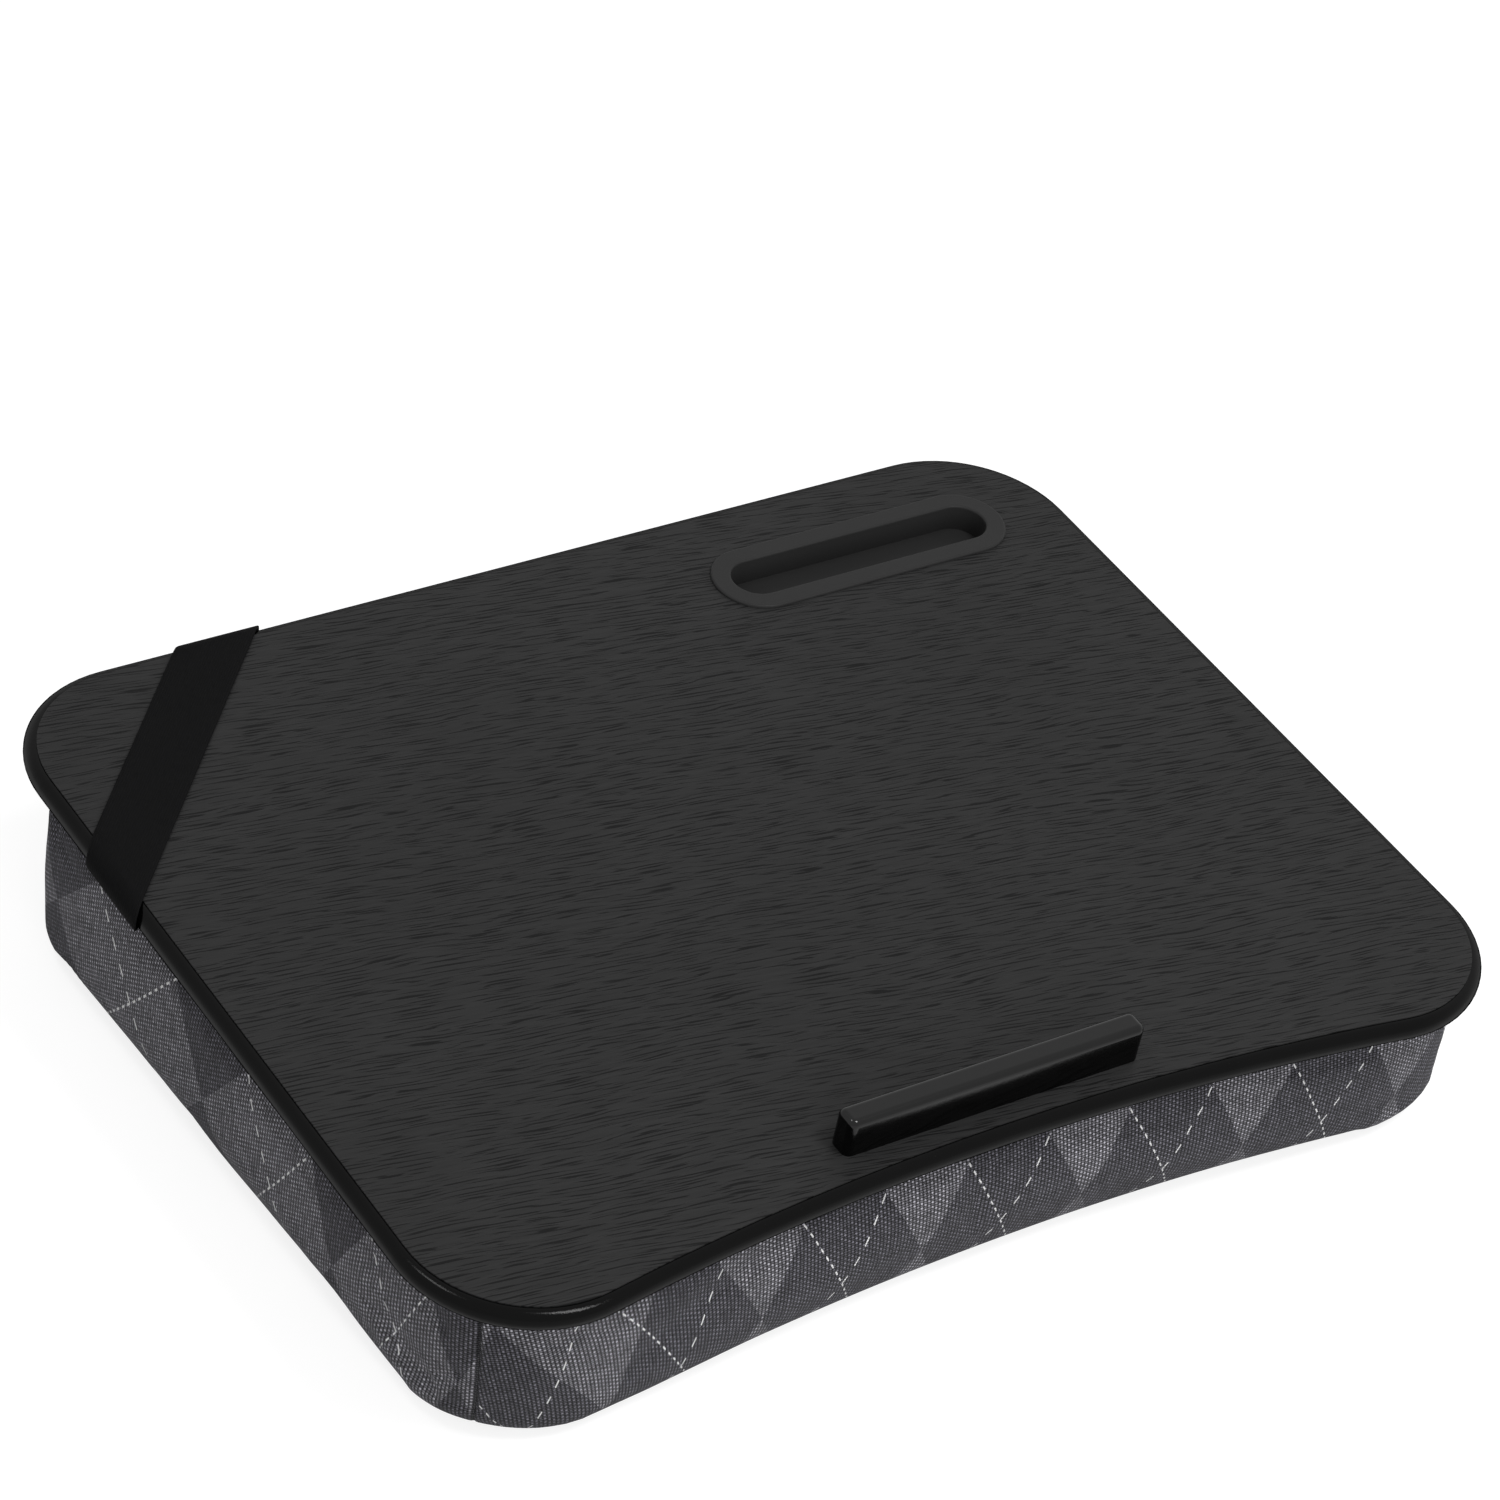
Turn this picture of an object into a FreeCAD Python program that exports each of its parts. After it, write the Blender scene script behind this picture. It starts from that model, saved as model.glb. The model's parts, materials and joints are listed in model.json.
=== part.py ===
import FreeCAD, Part
import math
import os

import Sketcher
from FreeCAD import Placement, Rotation, Vector

# Lap tray: a laminated board on a wedge-shaped cushion, with a device ledge at the front, a slot for a
# phone at the back right and an elastic strap across the back left corner.
# Every piece is drawn in the board's own frame: x to the right, y to the back, z up from the middle of
# the board's underside. One placement then leans the whole tray so that the cushion's base lies flat.

# Driving dimensions in millimetres.
SIZES = {
    # Board: its outline is measured at the outermost edge
    "board_width": 451,
    "board_depth": 352,
    "board_thick": 8.5,
    "corner_radius": 49.5,
    "front_dip": 14,
    "edge_round": 4.1,
    # Sheets glued to the two faces of the board
    "laminate_thick": 0.5,
    "laminate_setback": 4.5,
    "film_thick": 0.4,
    "film_setback": 6,
    # Slot: the opening in the deck, and the moulded cup that lines it
    "slot_length": 116,
    "slot_width": 20,
    "slot_depth": 10,
    "slot_from_right": 37,
    "slot_from_back": 45,
    "slot_wall": 1.6,
    "slot_floor": 1.5,
    "bezel_width": 8,
    "bezel_height": 1.2,
    "bezel_round": 0.9,
    "slot_fit": 0.3,
    # Device ledge and its screws
    "ledge_length": 125,
    "ledge_depth": 10,
    "ledge_height": 15.5,
    "ledge_from_front": 12,
    "ledge_corner_round": 3,
    "ledge_top_round": 2.5,
    "screw_from_end": 20,
    "screw_radius": 1.75,
    "screw_reach": 7,
    "screw_fit": 0.1,
    "screw_head_radius": 3.5,
    "screw_head_height": 2.2,
    "screw_head_recess": 2.6,
    # Elastic strap: where its middle line crosses the board's left and back edges
    "strap_width": 25.4,
    "strap_thick": 1.2,
    "strap_gap": 0.3,
    "strap_down_left": 106,
    "strap_along_back": 98.5,
    "strap_hold": 1.5,
    "strap_tail": 34,
    # Cushion: heights of its front and back walls under the board, and the form of its sides
    "cushion_front_height": 63,
    "cushion_back_height": 82,
    "cushion_setback": 11.5,
    "cushion_swell": 2,
    "cushion_draw_in": 2,
    "cushion_round": 16,
    "cloth_thick": 1.2,
    "fill_gap": 0.3,
    "hem_width": 18,
    "base_seam_inset": 14,
    # Strip and staples that hold the hem
    "strip_width": 9,
    "strip_thick": 1,
    "strip_setback": 17,
    "staple_crown": 10,
    "staple_wire": 0.7,
    "staple_leg": 7,
    "staple_pitch": 48,
    "strap_staple_inset": 22.5,
    "strap_staple_from_side": 6.2,
    # Overrun of cutting shapes past what they cut, and how near to a height an edge has to lie
    "overrun": 5,
    "level_tolerance": 0.001,
}
# An edge with more of its direction upward than this share counts as upright
UPRIGHT_SHARE = 0.5

# Sections of the cushion: how far down the wall each lies, how much of the swell it has, and how far
# round the bottom edge the last ones lie, as shares of a quarter turn.
WALL_DROP_SHARES = (0.0, 0.3, 0.6)
WALL_SWELL_SHARES = (0.0, 0.9, 0.7)
BOTTOM_TURN_SHARES = (0.0, 0.35, 0.7, 1.0)

doc = FreeCAD.newDocument("lap_tray")
sheet = doc.addObject("Spreadsheet::Sheet", "Sizes")
for row, (alias, number) in enumerate(SIZES.items(), 1):
    sheet.set(f"A{row}", alias)
    sheet.set(f"B{row}", str(number))
    sheet.setAlias(f"B{row}", alias)
doc.recompute()


def value(expression):
    """Number that an expression over the sheet gives."""
    return float(sheet.evalExpression(expression))


# Expressions that several pieces share.
DECK = "(Sizes.board_thick + Sizes.laminate_thick)"
CORNER_X = "(Sizes.board_width / 2 - Sizes.corner_radius)"
CORNER_Y = "(Sizes.board_depth / 2 - Sizes.corner_radius)"
FRONT_Y = "(Sizes.board_depth / 2 - Sizes.front_dip)"
ARC_SUM = f"(({CORNER_X} ^ 2 + Sizes.front_dip ^ 2) / (2 * Sizes.front_dip))"
FRONT_RADIUS = f"({ARC_SUM} - Sizes.corner_radius)"
SLOT_RIGHT_X = "(Sizes.board_width / 2 - Sizes.slot_from_right - Sizes.slot_width / 2)"
SLOT_LEFT_X = f"({SLOT_RIGHT_X} - Sizes.slot_length + Sizes.slot_width)"
SLOT_Y = "(Sizes.board_depth / 2 - Sizes.slot_from_back)"
CUP_WALL = "Sizes.slot_wall"
CUP_HOLE = "(Sizes.slot_wall + Sizes.slot_fit)"
LEDGE_FRONT_Y = f"({FRONT_Y} - Sizes.ledge_from_front)"
LEDGE_BACK_Y = f"({LEDGE_FRONT_Y} - Sizes.ledge_depth)"
SCREW_X = "(Sizes.ledge_length / 2 - Sizes.screw_from_end)"
SCREW_Y = f"({LEDGE_FRONT_Y} - Sizes.ledge_depth / 2)"
SCREW_HOLE = "(Sizes.screw_radius + Sizes.screw_fit)"
HEAD_HOLE = "(Sizes.screw_head_radius + Sizes.screw_fit)"
CUSHION_HEIGHT = "((Sizes.cushion_front_height + Sizes.cushion_back_height) / 2)"
CUSHION_RUN = "(Sizes.board_depth - 2 * Sizes.cushion_setback)"
LEAN = f"atan((Sizes.cushion_back_height - Sizes.cushion_front_height) / {CUSHION_RUN})"
STRAP_BUILD = "(Sizes.strap_gap + Sizes.strap_thick)"
HEM_BOTTOM = "(Sizes.film_thick + Sizes.cloth_thick)"
STRIP_BOTTOM = f"({HEM_BOTTOM} + Sizes.strip_thick)"

lean_degrees = value(LEAN)
far = value("Sizes.board_width + Sizes.board_depth")
overrun = value("Sizes.overrun")


# Sketches

def new_body(name):
    return doc.addObject("PartDesign::Body", name)


def flat_sketch(body, height):
    """Sketch on the body's own XY plane, raised to a height."""
    sketch = body.newObject("Sketcher::SketchObject", "Sketch")
    plane = next(f for f in body.Origin.OriginFeatures if f.Role == "XY_Plane")
    sketch.AttachmentSupport = [(plane, "")]
    sketch.MapMode = "FlatFace"
    sketch.setExpression("AttachmentOffset.Base.z", height)
    return sketch


def bind(sketch, kind, places, expression):
    """Adds a dimension whose number follows the sheet."""
    index = sketch.addConstraint(Sketcher.Constraint(kind, *places, value(expression)))
    sketch.setExpression(f"Constraints[{index}]", expression)


def rim_sketch(body, height, setback):
    """Board outline drawn in by a setback, with its corners still sharp and its front hollowed."""
    sketch = flat_sketch(body, height)
    half = f"(Sizes.board_width / 2 - {setback})"
    back = f"(Sizes.board_depth / 2 - {setback})"
    radius = f"({FRONT_RADIUS} + {setback})"
    below = f"({FRONT_Y} + {FRONT_RADIUS})"
    x, y, r = value(half), value(back), value(radius)
    centre = Vector(0, -value(below), 0)
    reach = math.acos(x / r)
    front = centre.y + r * math.sin(reach)
    corners = [Vector(x, front, 0), Vector(x, y, 0), Vector(-x, y, 0), Vector(-x, front, 0)]
    for start, end in zip(corners, corners[1:]):
        sketch.addGeometry(Part.LineSegment(start, end), False)
    circle = Part.Circle(centre, Vector(0, 0, 1), r)
    sketch.addGeometry(Part.ArcOfCircle(circle, reach, math.pi - reach), False)
    for joint in ((0, 2, 1, 1), (1, 2, 2, 1), (2, 2, 3, 2), (3, 1, 0, 1)):
        sketch.addConstraint(Sketcher.Constraint("Coincident", *joint))
    sketch.addConstraint(Sketcher.Constraint("Vertical", 0))
    sketch.addConstraint(Sketcher.Constraint("Horizontal", 1))
    sketch.addConstraint(Sketcher.Constraint("Vertical", 2))
    sketch.addConstraint(Sketcher.Constraint("PointOnObject", 3, 3, -2))
    bind(sketch, "DistanceX", (-1, 1, 0, 1), half)
    bind(sketch, "DistanceX", (2, 1, -1, 1), half)
    bind(sketch, "DistanceY", (-1, 1, 1, 1), back)
    bind(sketch, "Radius", (3,), radius)
    bind(sketch, "DistanceY", (3, 3, -1, 1), below)
    return sketch


def slot_sketch(body, height, grow):
    """Round-ended slot outline, drawn out by a margin."""
    sketch = flat_sketch(body, height)
    radius = f"(Sizes.slot_width / 2 + {grow})"
    right, left, y, r = value(SLOT_RIGHT_X), value(SLOT_LEFT_X), value(SLOT_Y), value(radius)
    up = Vector(0, 0, 1)
    right_circle = Part.Circle(Vector(right, y, 0), up, r)
    left_circle = Part.Circle(Vector(left, y, 0), up, r)
    sketch.addGeometry(Part.ArcOfCircle(right_circle, -math.pi / 2, math.pi / 2), False)
    sketch.addGeometry(Part.ArcOfCircle(left_circle, math.pi / 2, math.pi * 3 / 2), False)
    sketch.addGeometry(Part.LineSegment(Vector(right, y + r, 0), Vector(left, y + r, 0)), False)
    sketch.addGeometry(Part.LineSegment(Vector(left, y - r, 0), Vector(right, y - r, 0)), False)
    for joint in ((0, 2, 2, 1), (2, 2, 1, 1), (1, 2, 3, 1), (3, 2, 0, 1)):
        sketch.addConstraint(Sketcher.Constraint("Tangent", *joint))
    sketch.addConstraint(Sketcher.Constraint("Equal", 0, 1))
    sketch.addConstraint(Sketcher.Constraint("Horizontal", 2))
    bind(sketch, "Radius", (0,), radius)
    bind(sketch, "DistanceX", (-1, 1, 0, 3), SLOT_RIGHT_X)
    bind(sketch, "DistanceX", (-1, 1, 1, 3), SLOT_LEFT_X)
    bind(sketch, "DistanceY", (-1, 1, 0, 3), SLOT_Y)
    return sketch


def screw_sketch(body, height, radius):
    """Two circles at the places of the ledge's screws."""
    sketch = flat_sketch(body, height)
    for index, side in enumerate((-1, 1)):
        centre = Vector(side * value(SCREW_X), -value(SCREW_Y), 0)
        sketch.addGeometry(Part.Circle(centre, Vector(0, 0, 1), value(radius)), False)
        ends = (index, 3, -1, 1)
        bind(sketch, "Radius", (index,), radius)
        bind(sketch, "DistanceX", ends if side < 0 else ends[2:] + ends[:2], SCREW_X)
        bind(sketch, "DistanceY", ends, SCREW_Y)
    return sketch


def ledge_sketch(body, height):
    """Plan of the ledge: a rectangle lying behind the hollow of the front edge."""
    sketch = flat_sketch(body, height)
    half = "(Sizes.ledge_length / 2)"
    x, front, back = value(half), -value(LEDGE_FRONT_Y), -value(LEDGE_BACK_Y)
    corners = [Vector(-x, front, 0), Vector(x, front, 0), Vector(x, back, 0), Vector(-x, back, 0)]
    for start, end in zip(corners, corners[1:] + corners[:1]):
        sketch.addGeometry(Part.LineSegment(start, end), False)
    for side in range(len(corners)):
        after = (side + 1) % len(corners)
        sketch.addConstraint(Sketcher.Constraint("Coincident", side, 2, after, 1))
        sketch.addConstraint(Sketcher.Constraint("Vertical" if side % 2 else "Horizontal", side))
    bind(sketch, "DistanceX", (0, 1, -1, 1), half)
    bind(sketch, "DistanceX", (-1, 1, 1, 1), half)
    bind(sketch, "DistanceY", (0, 1, -1, 1), LEDGE_FRONT_Y)
    bind(sketch, "DistanceY", (2, 1, -1, 1), LEDGE_BACK_Y)
    return sketch


# Features

def pad(body, sketch, length, down=False):
    feature = body.newObject("PartDesign::Pad", "Pad")
    feature.Profile = sketch
    feature.Reversed = down
    feature.setExpression("Length", length)


def pocket(body, sketch, length):
    feature = body.newObject("PartDesign::Pocket", "Pocket")
    feature.Profile = sketch
    feature.setExpression("Length", length)


def round_edges(body, radius, wanted):
    """Fillet on those edges of the body so far that the test picks."""
    doc.recompute()
    base = body.Tip
    names = [f"Edge{i}" for i, edge in enumerate(base.Shape.Edges, 1) if wanted(edge)]
    feature = body.newObject("PartDesign::Fillet", "Fillet")
    feature.Base = (base, names)
    feature.setExpression("Radius", radius)


def upright(edge):
    rise = abs(edge.tangentAt(edge.FirstParameter).z)
    return isinstance(edge.Curve, Part.Line) and rise > UPRIGHT_SHARE


def level_at(*heights):
    """Test for edges that lie flat at one of the heights."""
    def test(edge):
        box = edge.BoundBox
        close = value("Sizes.level_tolerance")
        return any(abs(box.ZMin - z) < close and abs(box.ZMax - z) < close for z in heights)
    return test


def rim_body(name, height, setback, thick):
    """Plate with the board's outline drawn in by a setback."""
    body = new_body(name)
    pad(body, rim_sketch(body, height, setback), thick)
    round_edges(body, f"Sizes.corner_radius - {setback}", upright)
    return body


# Shapes drawn with wires

def arc(start, through, end):
    return Part.Arc(start, through, end).toShape()


def rim_wire(setback):
    """Closed board outline, drawn in by a setback, at the height of the board's underside."""
    corner_x, corner_y = value(CORNER_X), value(CORNER_Y)
    corner = value("Sizes.corner_radius") - setback
    front = value(FRONT_RADIUS) + setback
    hollow = Vector(0, -value(FRONT_Y) - value(FRONT_RADIUS), 0)
    turn = (Vector(corner_x, -corner_y, 0) - hollow).normalize()
    meet_right = hollow + turn * front
    meet_left = Vector(-meet_right.x, meet_right.y, 0)
    right, left = corner_x + corner, -corner_x - corner
    lean_out = Vector(1, 0, 0) - turn
    lean_out.normalize()
    slant = Vector(1, 1, 0).normalize()

    def corner_point(side_x, side_y, direction):
        x, y = corner_x + direction.x * corner, corner_y + direction.y * corner
        return Vector(side_x * x, side_y * y, 0)

    low_mid = Vector(lean_out.x, -lean_out.y, 0)
    edges = [
        arc(meet_left, hollow + Vector(0, front, 0), meet_right),
        arc(meet_right, corner_point(1, -1, low_mid), Vector(right, -corner_y, 0)),
        Part.makeLine(Vector(right, -corner_y, 0), Vector(right, corner_y, 0)),
        arc(Vector(right, corner_y, 0), corner_point(1, 1, slant), Vector(corner_x, corner_y + corner, 0)),
        Part.makeLine(Vector(corner_x, corner_y + corner, 0), Vector(-corner_x, corner_y + corner, 0)),
        arc(Vector(-corner_x, corner_y + corner, 0), corner_point(-1, 1, slant), Vector(left, corner_y, 0)),
        Part.makeLine(Vector(left, corner_y, 0), Vector(left, -corner_y, 0)),
        arc(Vector(left, -corner_y, 0), corner_point(-1, -1, low_mid), meet_left),
    ]
    return Part.Wire(edges)


def prism(wire, bottom, top):
    """Upright solid over a flat wire."""
    solid = Part.Face(wire).extrude(Vector(0, 0, top - bottom))
    solid.translate(Vector(0, 0, bottom))
    return solid


def rim_prism(setback, bottom, top):
    return prism(rim_wire(setback), bottom, top)


def polygon_prism(points, bottom, top):
    return prism(Part.makePolygon(points + points[:1]), bottom, top)


def cup_prism(grow, bottom, top):
    """Round-ended upright solid over the slot, drawn out by a margin."""
    r = value("Sizes.slot_width") / 2 + grow
    right, left, y = value(SLOT_RIGHT_X), value(SLOT_LEFT_X), value(SLOT_Y)
    wire = Part.Wire([
        Part.makeLine(Vector(left, y - r, 0), Vector(right, y - r, 0)),
        arc(Vector(right, y - r, 0), Vector(right + r, y, 0), Vector(right, y + r, 0)),
        Part.makeLine(Vector(right, y + r, 0), Vector(left, y + r, 0)),
        arc(Vector(left, y + r, 0), Vector(left - r, y, 0), Vector(left, y - r, 0)),
    ])
    return prism(wire, bottom, top)


# Cushion

def section(setback, drop, lean_share):
    """Outline of the cushion at a depth under the board, leaning part of the way to its base."""
    wire = rim_wire(setback)
    wire.rotate(Vector(0, 0, 0), Vector(1, 0, 0), -lean_share * lean_degrees)
    wire.translate(Vector(0, 0, -drop))
    return wire


def cushion_form(skin):
    """Loft of the cushion, drawn in by a skin on every side: walls that swell, then a round edge."""
    setback = value("Sizes.cushion_setback") + skin
    top = value("Sizes.film_thick") + skin
    base = value("Sizes.film_thick") + value(CUSHION_HEIGHT) - skin
    swell = value("Sizes.cushion_swell")
    turn = value("Sizes.cushion_round") - skin
    drawn = setback + value("Sizes.cushion_draw_in")
    wires = [
        section(setback - swell * swelling, top + (base - top) * share, share)
        for share, swelling in zip(WALL_DROP_SHARES, WALL_SWELL_SHARES)
    ]
    for share in BOTTOM_TURN_SHARES:
        angle = share * math.pi / 2
        inset = drawn + turn * (1 - math.cos(angle))
        wires.append(section(inset, base - turn * (1 - math.sin(angle)), 1))
    return Part.makeLoft(wires, True)


def side_zone(side_x, side_y):
    """Part of the plan that belongs to one wall, bounded by lines through the corners' middles."""
    x, y = value(CORNER_X), value(CORNER_Y)
    reach = value("Sizes.corner_radius") + overrun
    inner = [Vector(x, y, 0), Vector(x, -y, 0)] if side_x else [Vector(x, y, 0), Vector(-x, y, 0)]
    flip = side_x + side_y
    inner = [Vector(p.x * (flip if side_x else 1), p.y * (flip if side_y else 1), 0) for p in inner]
    outer = [p + Vector(math.copysign(reach, p.x), math.copysign(reach, p.y), 0) for p in inner]
    return polygon_prism(inner + outer[::-1], -far, overrun)


# Strap

half_width = value("Sizes.board_width / 2")
half_depth = value("Sizes.board_depth / 2")
edge_left = Vector(-half_width, half_depth - value("Sizes.strap_down_left"), 0)
edge_back = Vector(value("Sizes.strap_along_back") - half_width, half_depth, 0)
strap_along = (edge_back - edge_left).normalize()
strap_across = Vector(-strap_along.y, strap_along.x, 0)


def strap_band(margin, bottom, top):
    """Upright solid as wide as the strap and a margin, running past both edges of the board."""
    half = strap_across * (value("Sizes.strap_width") / 2 + margin)
    reach = strap_along * (value("Sizes.strap_width") + overrun)
    start, end = edge_left - reach, edge_back + reach
    return polygon_prism([start - half, end - half, end + half, start + half], bottom, top)


def beyond_left(inset, bottom, top):
    """Everything to the left of a line that runs along the board's left edge."""
    x = inset - half_width
    points = [Vector(-far, -far, 0), Vector(x, -far, 0), Vector(x, far, 0), Vector(-far, far, 0)]
    return polygon_prism(points, bottom, top)


def beyond_back(inset, bottom, top):
    """Everything behind a line that runs along the board's back edge."""
    y = half_depth - inset
    points = [Vector(-far, y, 0), Vector(far, y, 0), Vector(far, far, 0), Vector(-far, far, 0)]
    return polygon_prism(points, bottom, top)


def board_envelope(grow):
    """Board with its sheets, drawn out by a margin, with round edges."""
    bottom = -value("Sizes.film_thick") - grow
    top = value(DECK) + grow
    solid = rim_prism(-grow, bottom, top)
    edges = [edge for edge in solid.Edges if level_at(bottom, top)(edge)]
    return solid.makeFillet(value("Sizes.edge_round") + grow, edges)


def strap_end(skin, beyond):
    """Strap where it turns round one edge of the board, with the tail that runs in underneath."""
    split = value("Sizes.laminate_setback + Sizes.strap_hold")
    low, middle, high = -far, 0, far
    tail = value("Sizes.strap_tail")
    zone = beyond(split, low, high).fuse(beyond(tail, low, middle))
    return skin.common(zone).removeSplitter()


def strap_middle(skin):
    """Flat run of the strap over the deck, free of the two ends."""
    split = value("Sizes.laminate_setback + Sizes.strap_hold + Sizes.strap_gap")
    above = skin.common(rim_prism(0, value("Sizes.board_thick"), far))
    return above.cut(beyond_left(split, -far, far)).cut(beyond_back(split, -far, far))


# Staples

def staple(place, along, top):
    """U-shaped staple under a layer whose lower face is at a depth, with its legs pointing up."""
    crown, wire, leg = value("Sizes.staple_crown"), value("Sizes.staple_wire"), value("Sizes.staple_leg")
    bar = Part.makeBox(crown, wire, wire + leg, Vector(-crown / 2, -wire / 2, -wire))
    room = Part.makeBox(crown - 2 * wire, wire, leg, Vector(wire - crown / 2, -wire / 2, 0))
    solid = bar.cut(room)
    turn = math.degrees(math.atan2(along.y, along.x))
    solid.Placement = Placement(Vector(place.x, place.y, top), Rotation(Vector(0, 0, 1), turn))
    return solid


def strip_runs(notches):
    """Middle line of the strip, in the lengths that the strap's tails leave."""
    middle = rim_wire(value("Sizes.strip_setback + Sizes.strip_width / 2"))
    middle.translate(Vector(0, 0, -value(HEM_BOTTOM)))
    return [Part.Wire(edges) for edges in Part.sortEdges(middle.cut(notches).Edges)]


def hem_staples(notches):
    """Staples at even steps along each length of the strip, the end ones half a step from its ends."""
    staples = []
    for run in strip_runs(notches):
        count = round(run.Length / value("Sizes.staple_pitch"))
        places = run.discretize(Number=2 * count + 1)
        for before, place, after in zip(places[0::2], places[1::2], places[2::2]):
            staples.append(staple(place, after - before, -value(STRIP_BOTTOM)))
    return Part.makeCompound(staples)


def tail_staples():
    """A pair of staples through each tail of the strap."""
    under = -value("Sizes.film_thick") - value(STRAP_BUILD)
    half = strap_across * value("Sizes.strap_width / 2 - Sizes.strap_staple_from_side")
    inset = value("Sizes.strap_staple_inset")
    left = edge_left + strap_along * (inset / strap_along.x)
    back = edge_back - strap_along * (inset / strap_along.y)
    return Part.makeCompound([
        staple(middle + half * side, strap_across, under) for middle in (left, back) for side in (-1, 1)
    ])


# Named sub-parts

def feature(name, shape):
    """Sub-part whose shape is worked out above."""
    piece = doc.addObject("Part::Feature", name)
    piece.Shape = shape
    return piece


def pierced(name, blank, tool):
    """Sub-part cut from a blank by the fasteners that pass through it."""
    cut = doc.addObject("Part::Cut", name)
    cut.Base = blank
    cut.Tool = tool
    return cut


def make_board(fasteners):
    body = rim_body("board_blank", "0", "0", "Sizes.board_thick")
    round_edges(body, "Sizes.edge_round", level_at(0, value("Sizes.board_thick")))
    pocket(body, slot_sketch(body, "Sizes.board_thick", CUP_HOLE), "Sizes.board_thick")
    pocket(body, screw_sketch(body, "Sizes.board_thick", SCREW_HOLE), "Sizes.board_thick")
    pocket(body, screw_sketch(body, "Sizes.screw_head_recess", HEAD_HOLE), "Sizes.screw_head_recess")
    return pierced("board_core", body, fasteners)


def make_laminate():
    body = rim_body("top_laminate", "Sizes.board_thick", "Sizes.laminate_setback", "Sizes.laminate_thick")
    pocket(body, slot_sketch(body, DECK, CUP_HOLE), "Sizes.laminate_thick")
    pocket(body, screw_sketch(body, DECK, SCREW_HOLE), "Sizes.laminate_thick")
    return body


def make_film(fasteners):
    body = rim_body("film_blank", "-Sizes.film_thick", "Sizes.film_setback", "Sizes.film_thick")
    pocket(body, slot_sketch(body, "0", CUP_HOLE), "Sizes.film_thick")
    pocket(body, screw_sketch(body, "0", HEAD_HOLE), "Sizes.film_thick")
    return pierced("backing_film", body, fasteners)


def make_slot_insert():
    body = new_body("slot_insert")
    pad(body, slot_sketch(body, DECK, "Sizes.bezel_width"), "Sizes.bezel_height")
    pad(body, slot_sketch(body, DECK, CUP_WALL), "Sizes.slot_depth + Sizes.slot_floor", down=True)
    rim = f"({DECK} + Sizes.bezel_height)"
    pocket(body, slot_sketch(body, rim, "0"), "Sizes.bezel_height + Sizes.slot_depth")
    round_edges(body, "Sizes.bezel_round", level_at(value(rim)))
    return body


def make_ledge():
    body = new_body("device_ledge")
    pad(body, ledge_sketch(body, DECK), "Sizes.ledge_height")
    round_edges(body, "Sizes.ledge_corner_round", upright)
    round_edges(body, "Sizes.ledge_top_round", level_at(value(f"{DECK} + Sizes.ledge_height")))
    pocket(body, screw_sketch(body, f"{DECK} + Sizes.screw_reach", SCREW_HOLE), "Sizes.screw_reach")
    return body


def make_screws():
    screws = []
    for side in ("-", ""):
        shank = doc.addObject("Part::Cylinder", "screw_shank")
        shank.setExpression("Radius", "Sizes.screw_radius")
        shank.setExpression("Height", f"{DECK} + Sizes.screw_reach - Sizes.screw_head_recess")
        head = doc.addObject("Part::Cylinder", "screw_head")
        head.setExpression("Radius", "Sizes.screw_head_radius")
        head.setExpression("Height", "Sizes.screw_head_height")
        for piece, sink in ((shank, "0"), (head, "Sizes.screw_head_height")):
            piece.setExpression("Placement.Base.x", f"{side}{SCREW_X}")
            piece.setExpression("Placement.Base.y", f"-{SCREW_Y}")
            piece.setExpression("Placement.Base.z", f"Sizes.screw_head_recess - {sink}")
        screw = doc.addObject("Part::Fuse", "screw")
        screw.Base = shank
        screw.Tool = head
        screws.append(screw)
    group = doc.addObject("Part::Compound", "ledge_screws")
    group.Links = screws
    return group


def make_strap(fasteners):
    inner, outer = value("Sizes.strap_gap"), value(STRAP_BUILD)
    wrap = board_envelope(outer).cut(board_envelope(inner))
    skin = wrap.common(strap_band(0, -far, far)).cut(fasteners)
    return (
        feature("strap_left_end", strap_end(skin, beyond_left)),
        feature("strap_middle", strap_middle(skin)),
        feature("strap_back_end", strap_end(skin, beyond_back)),
    )


def tail_notches():
    """Room that the strap's tails and their staples need in the layers under the board."""
    low = -value("Sizes.film_thick") - value(STRAP_BUILD) - value("Sizes.staple_wire + Sizes.fill_gap")
    band = strap_band(value("Sizes.fill_gap"), low, -value("Sizes.film_thick"))
    reach = value("Sizes.strap_tail + Sizes.fill_gap")
    return band.common(beyond_left(reach, -far, far).fuse(beyond_back(reach, -far, far)))


def make_cover(fasteners, notches):
    """Canvas bag round the filling: four walls with hems, a base panel and a liner under the board."""
    cloth = value("Sizes.cloth_thick")
    shell = cushion_form(0).cut(cushion_form(cloth)).cut(notches).cut(fasteners)
    half_way = -value("Sizes.film_thick") - value("Sizes.cushion_front_height") / 2
    hem_zone = rim_prism(value("Sizes.cushion_setback + Sizes.hem_width"), half_way, overrun)
    base_zone = rim_prism(value("Sizes.cushion_setback + Sizes.base_seam_inset"), -far, half_way)
    walls = shell.cut(hem_zone).cut(base_zone)
    cup = cup_prism(value(CUP_HOLE), half_way, overrun)
    sides = {"front": (0, -1), "right": (1, 0), "back": (0, 1), "left": (-1, 0)}
    pieces = [
        feature(f"cover_{name}_panel", walls.common(side_zone(*side))) for name, side in sides.items()
    ]
    pieces.append(feature("cover_bottom_panel", shell.common(base_zone)))
    pieces.append(feature("cover_top_liner", shell.common(hem_zone).cut(cup)))
    return pieces


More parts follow.
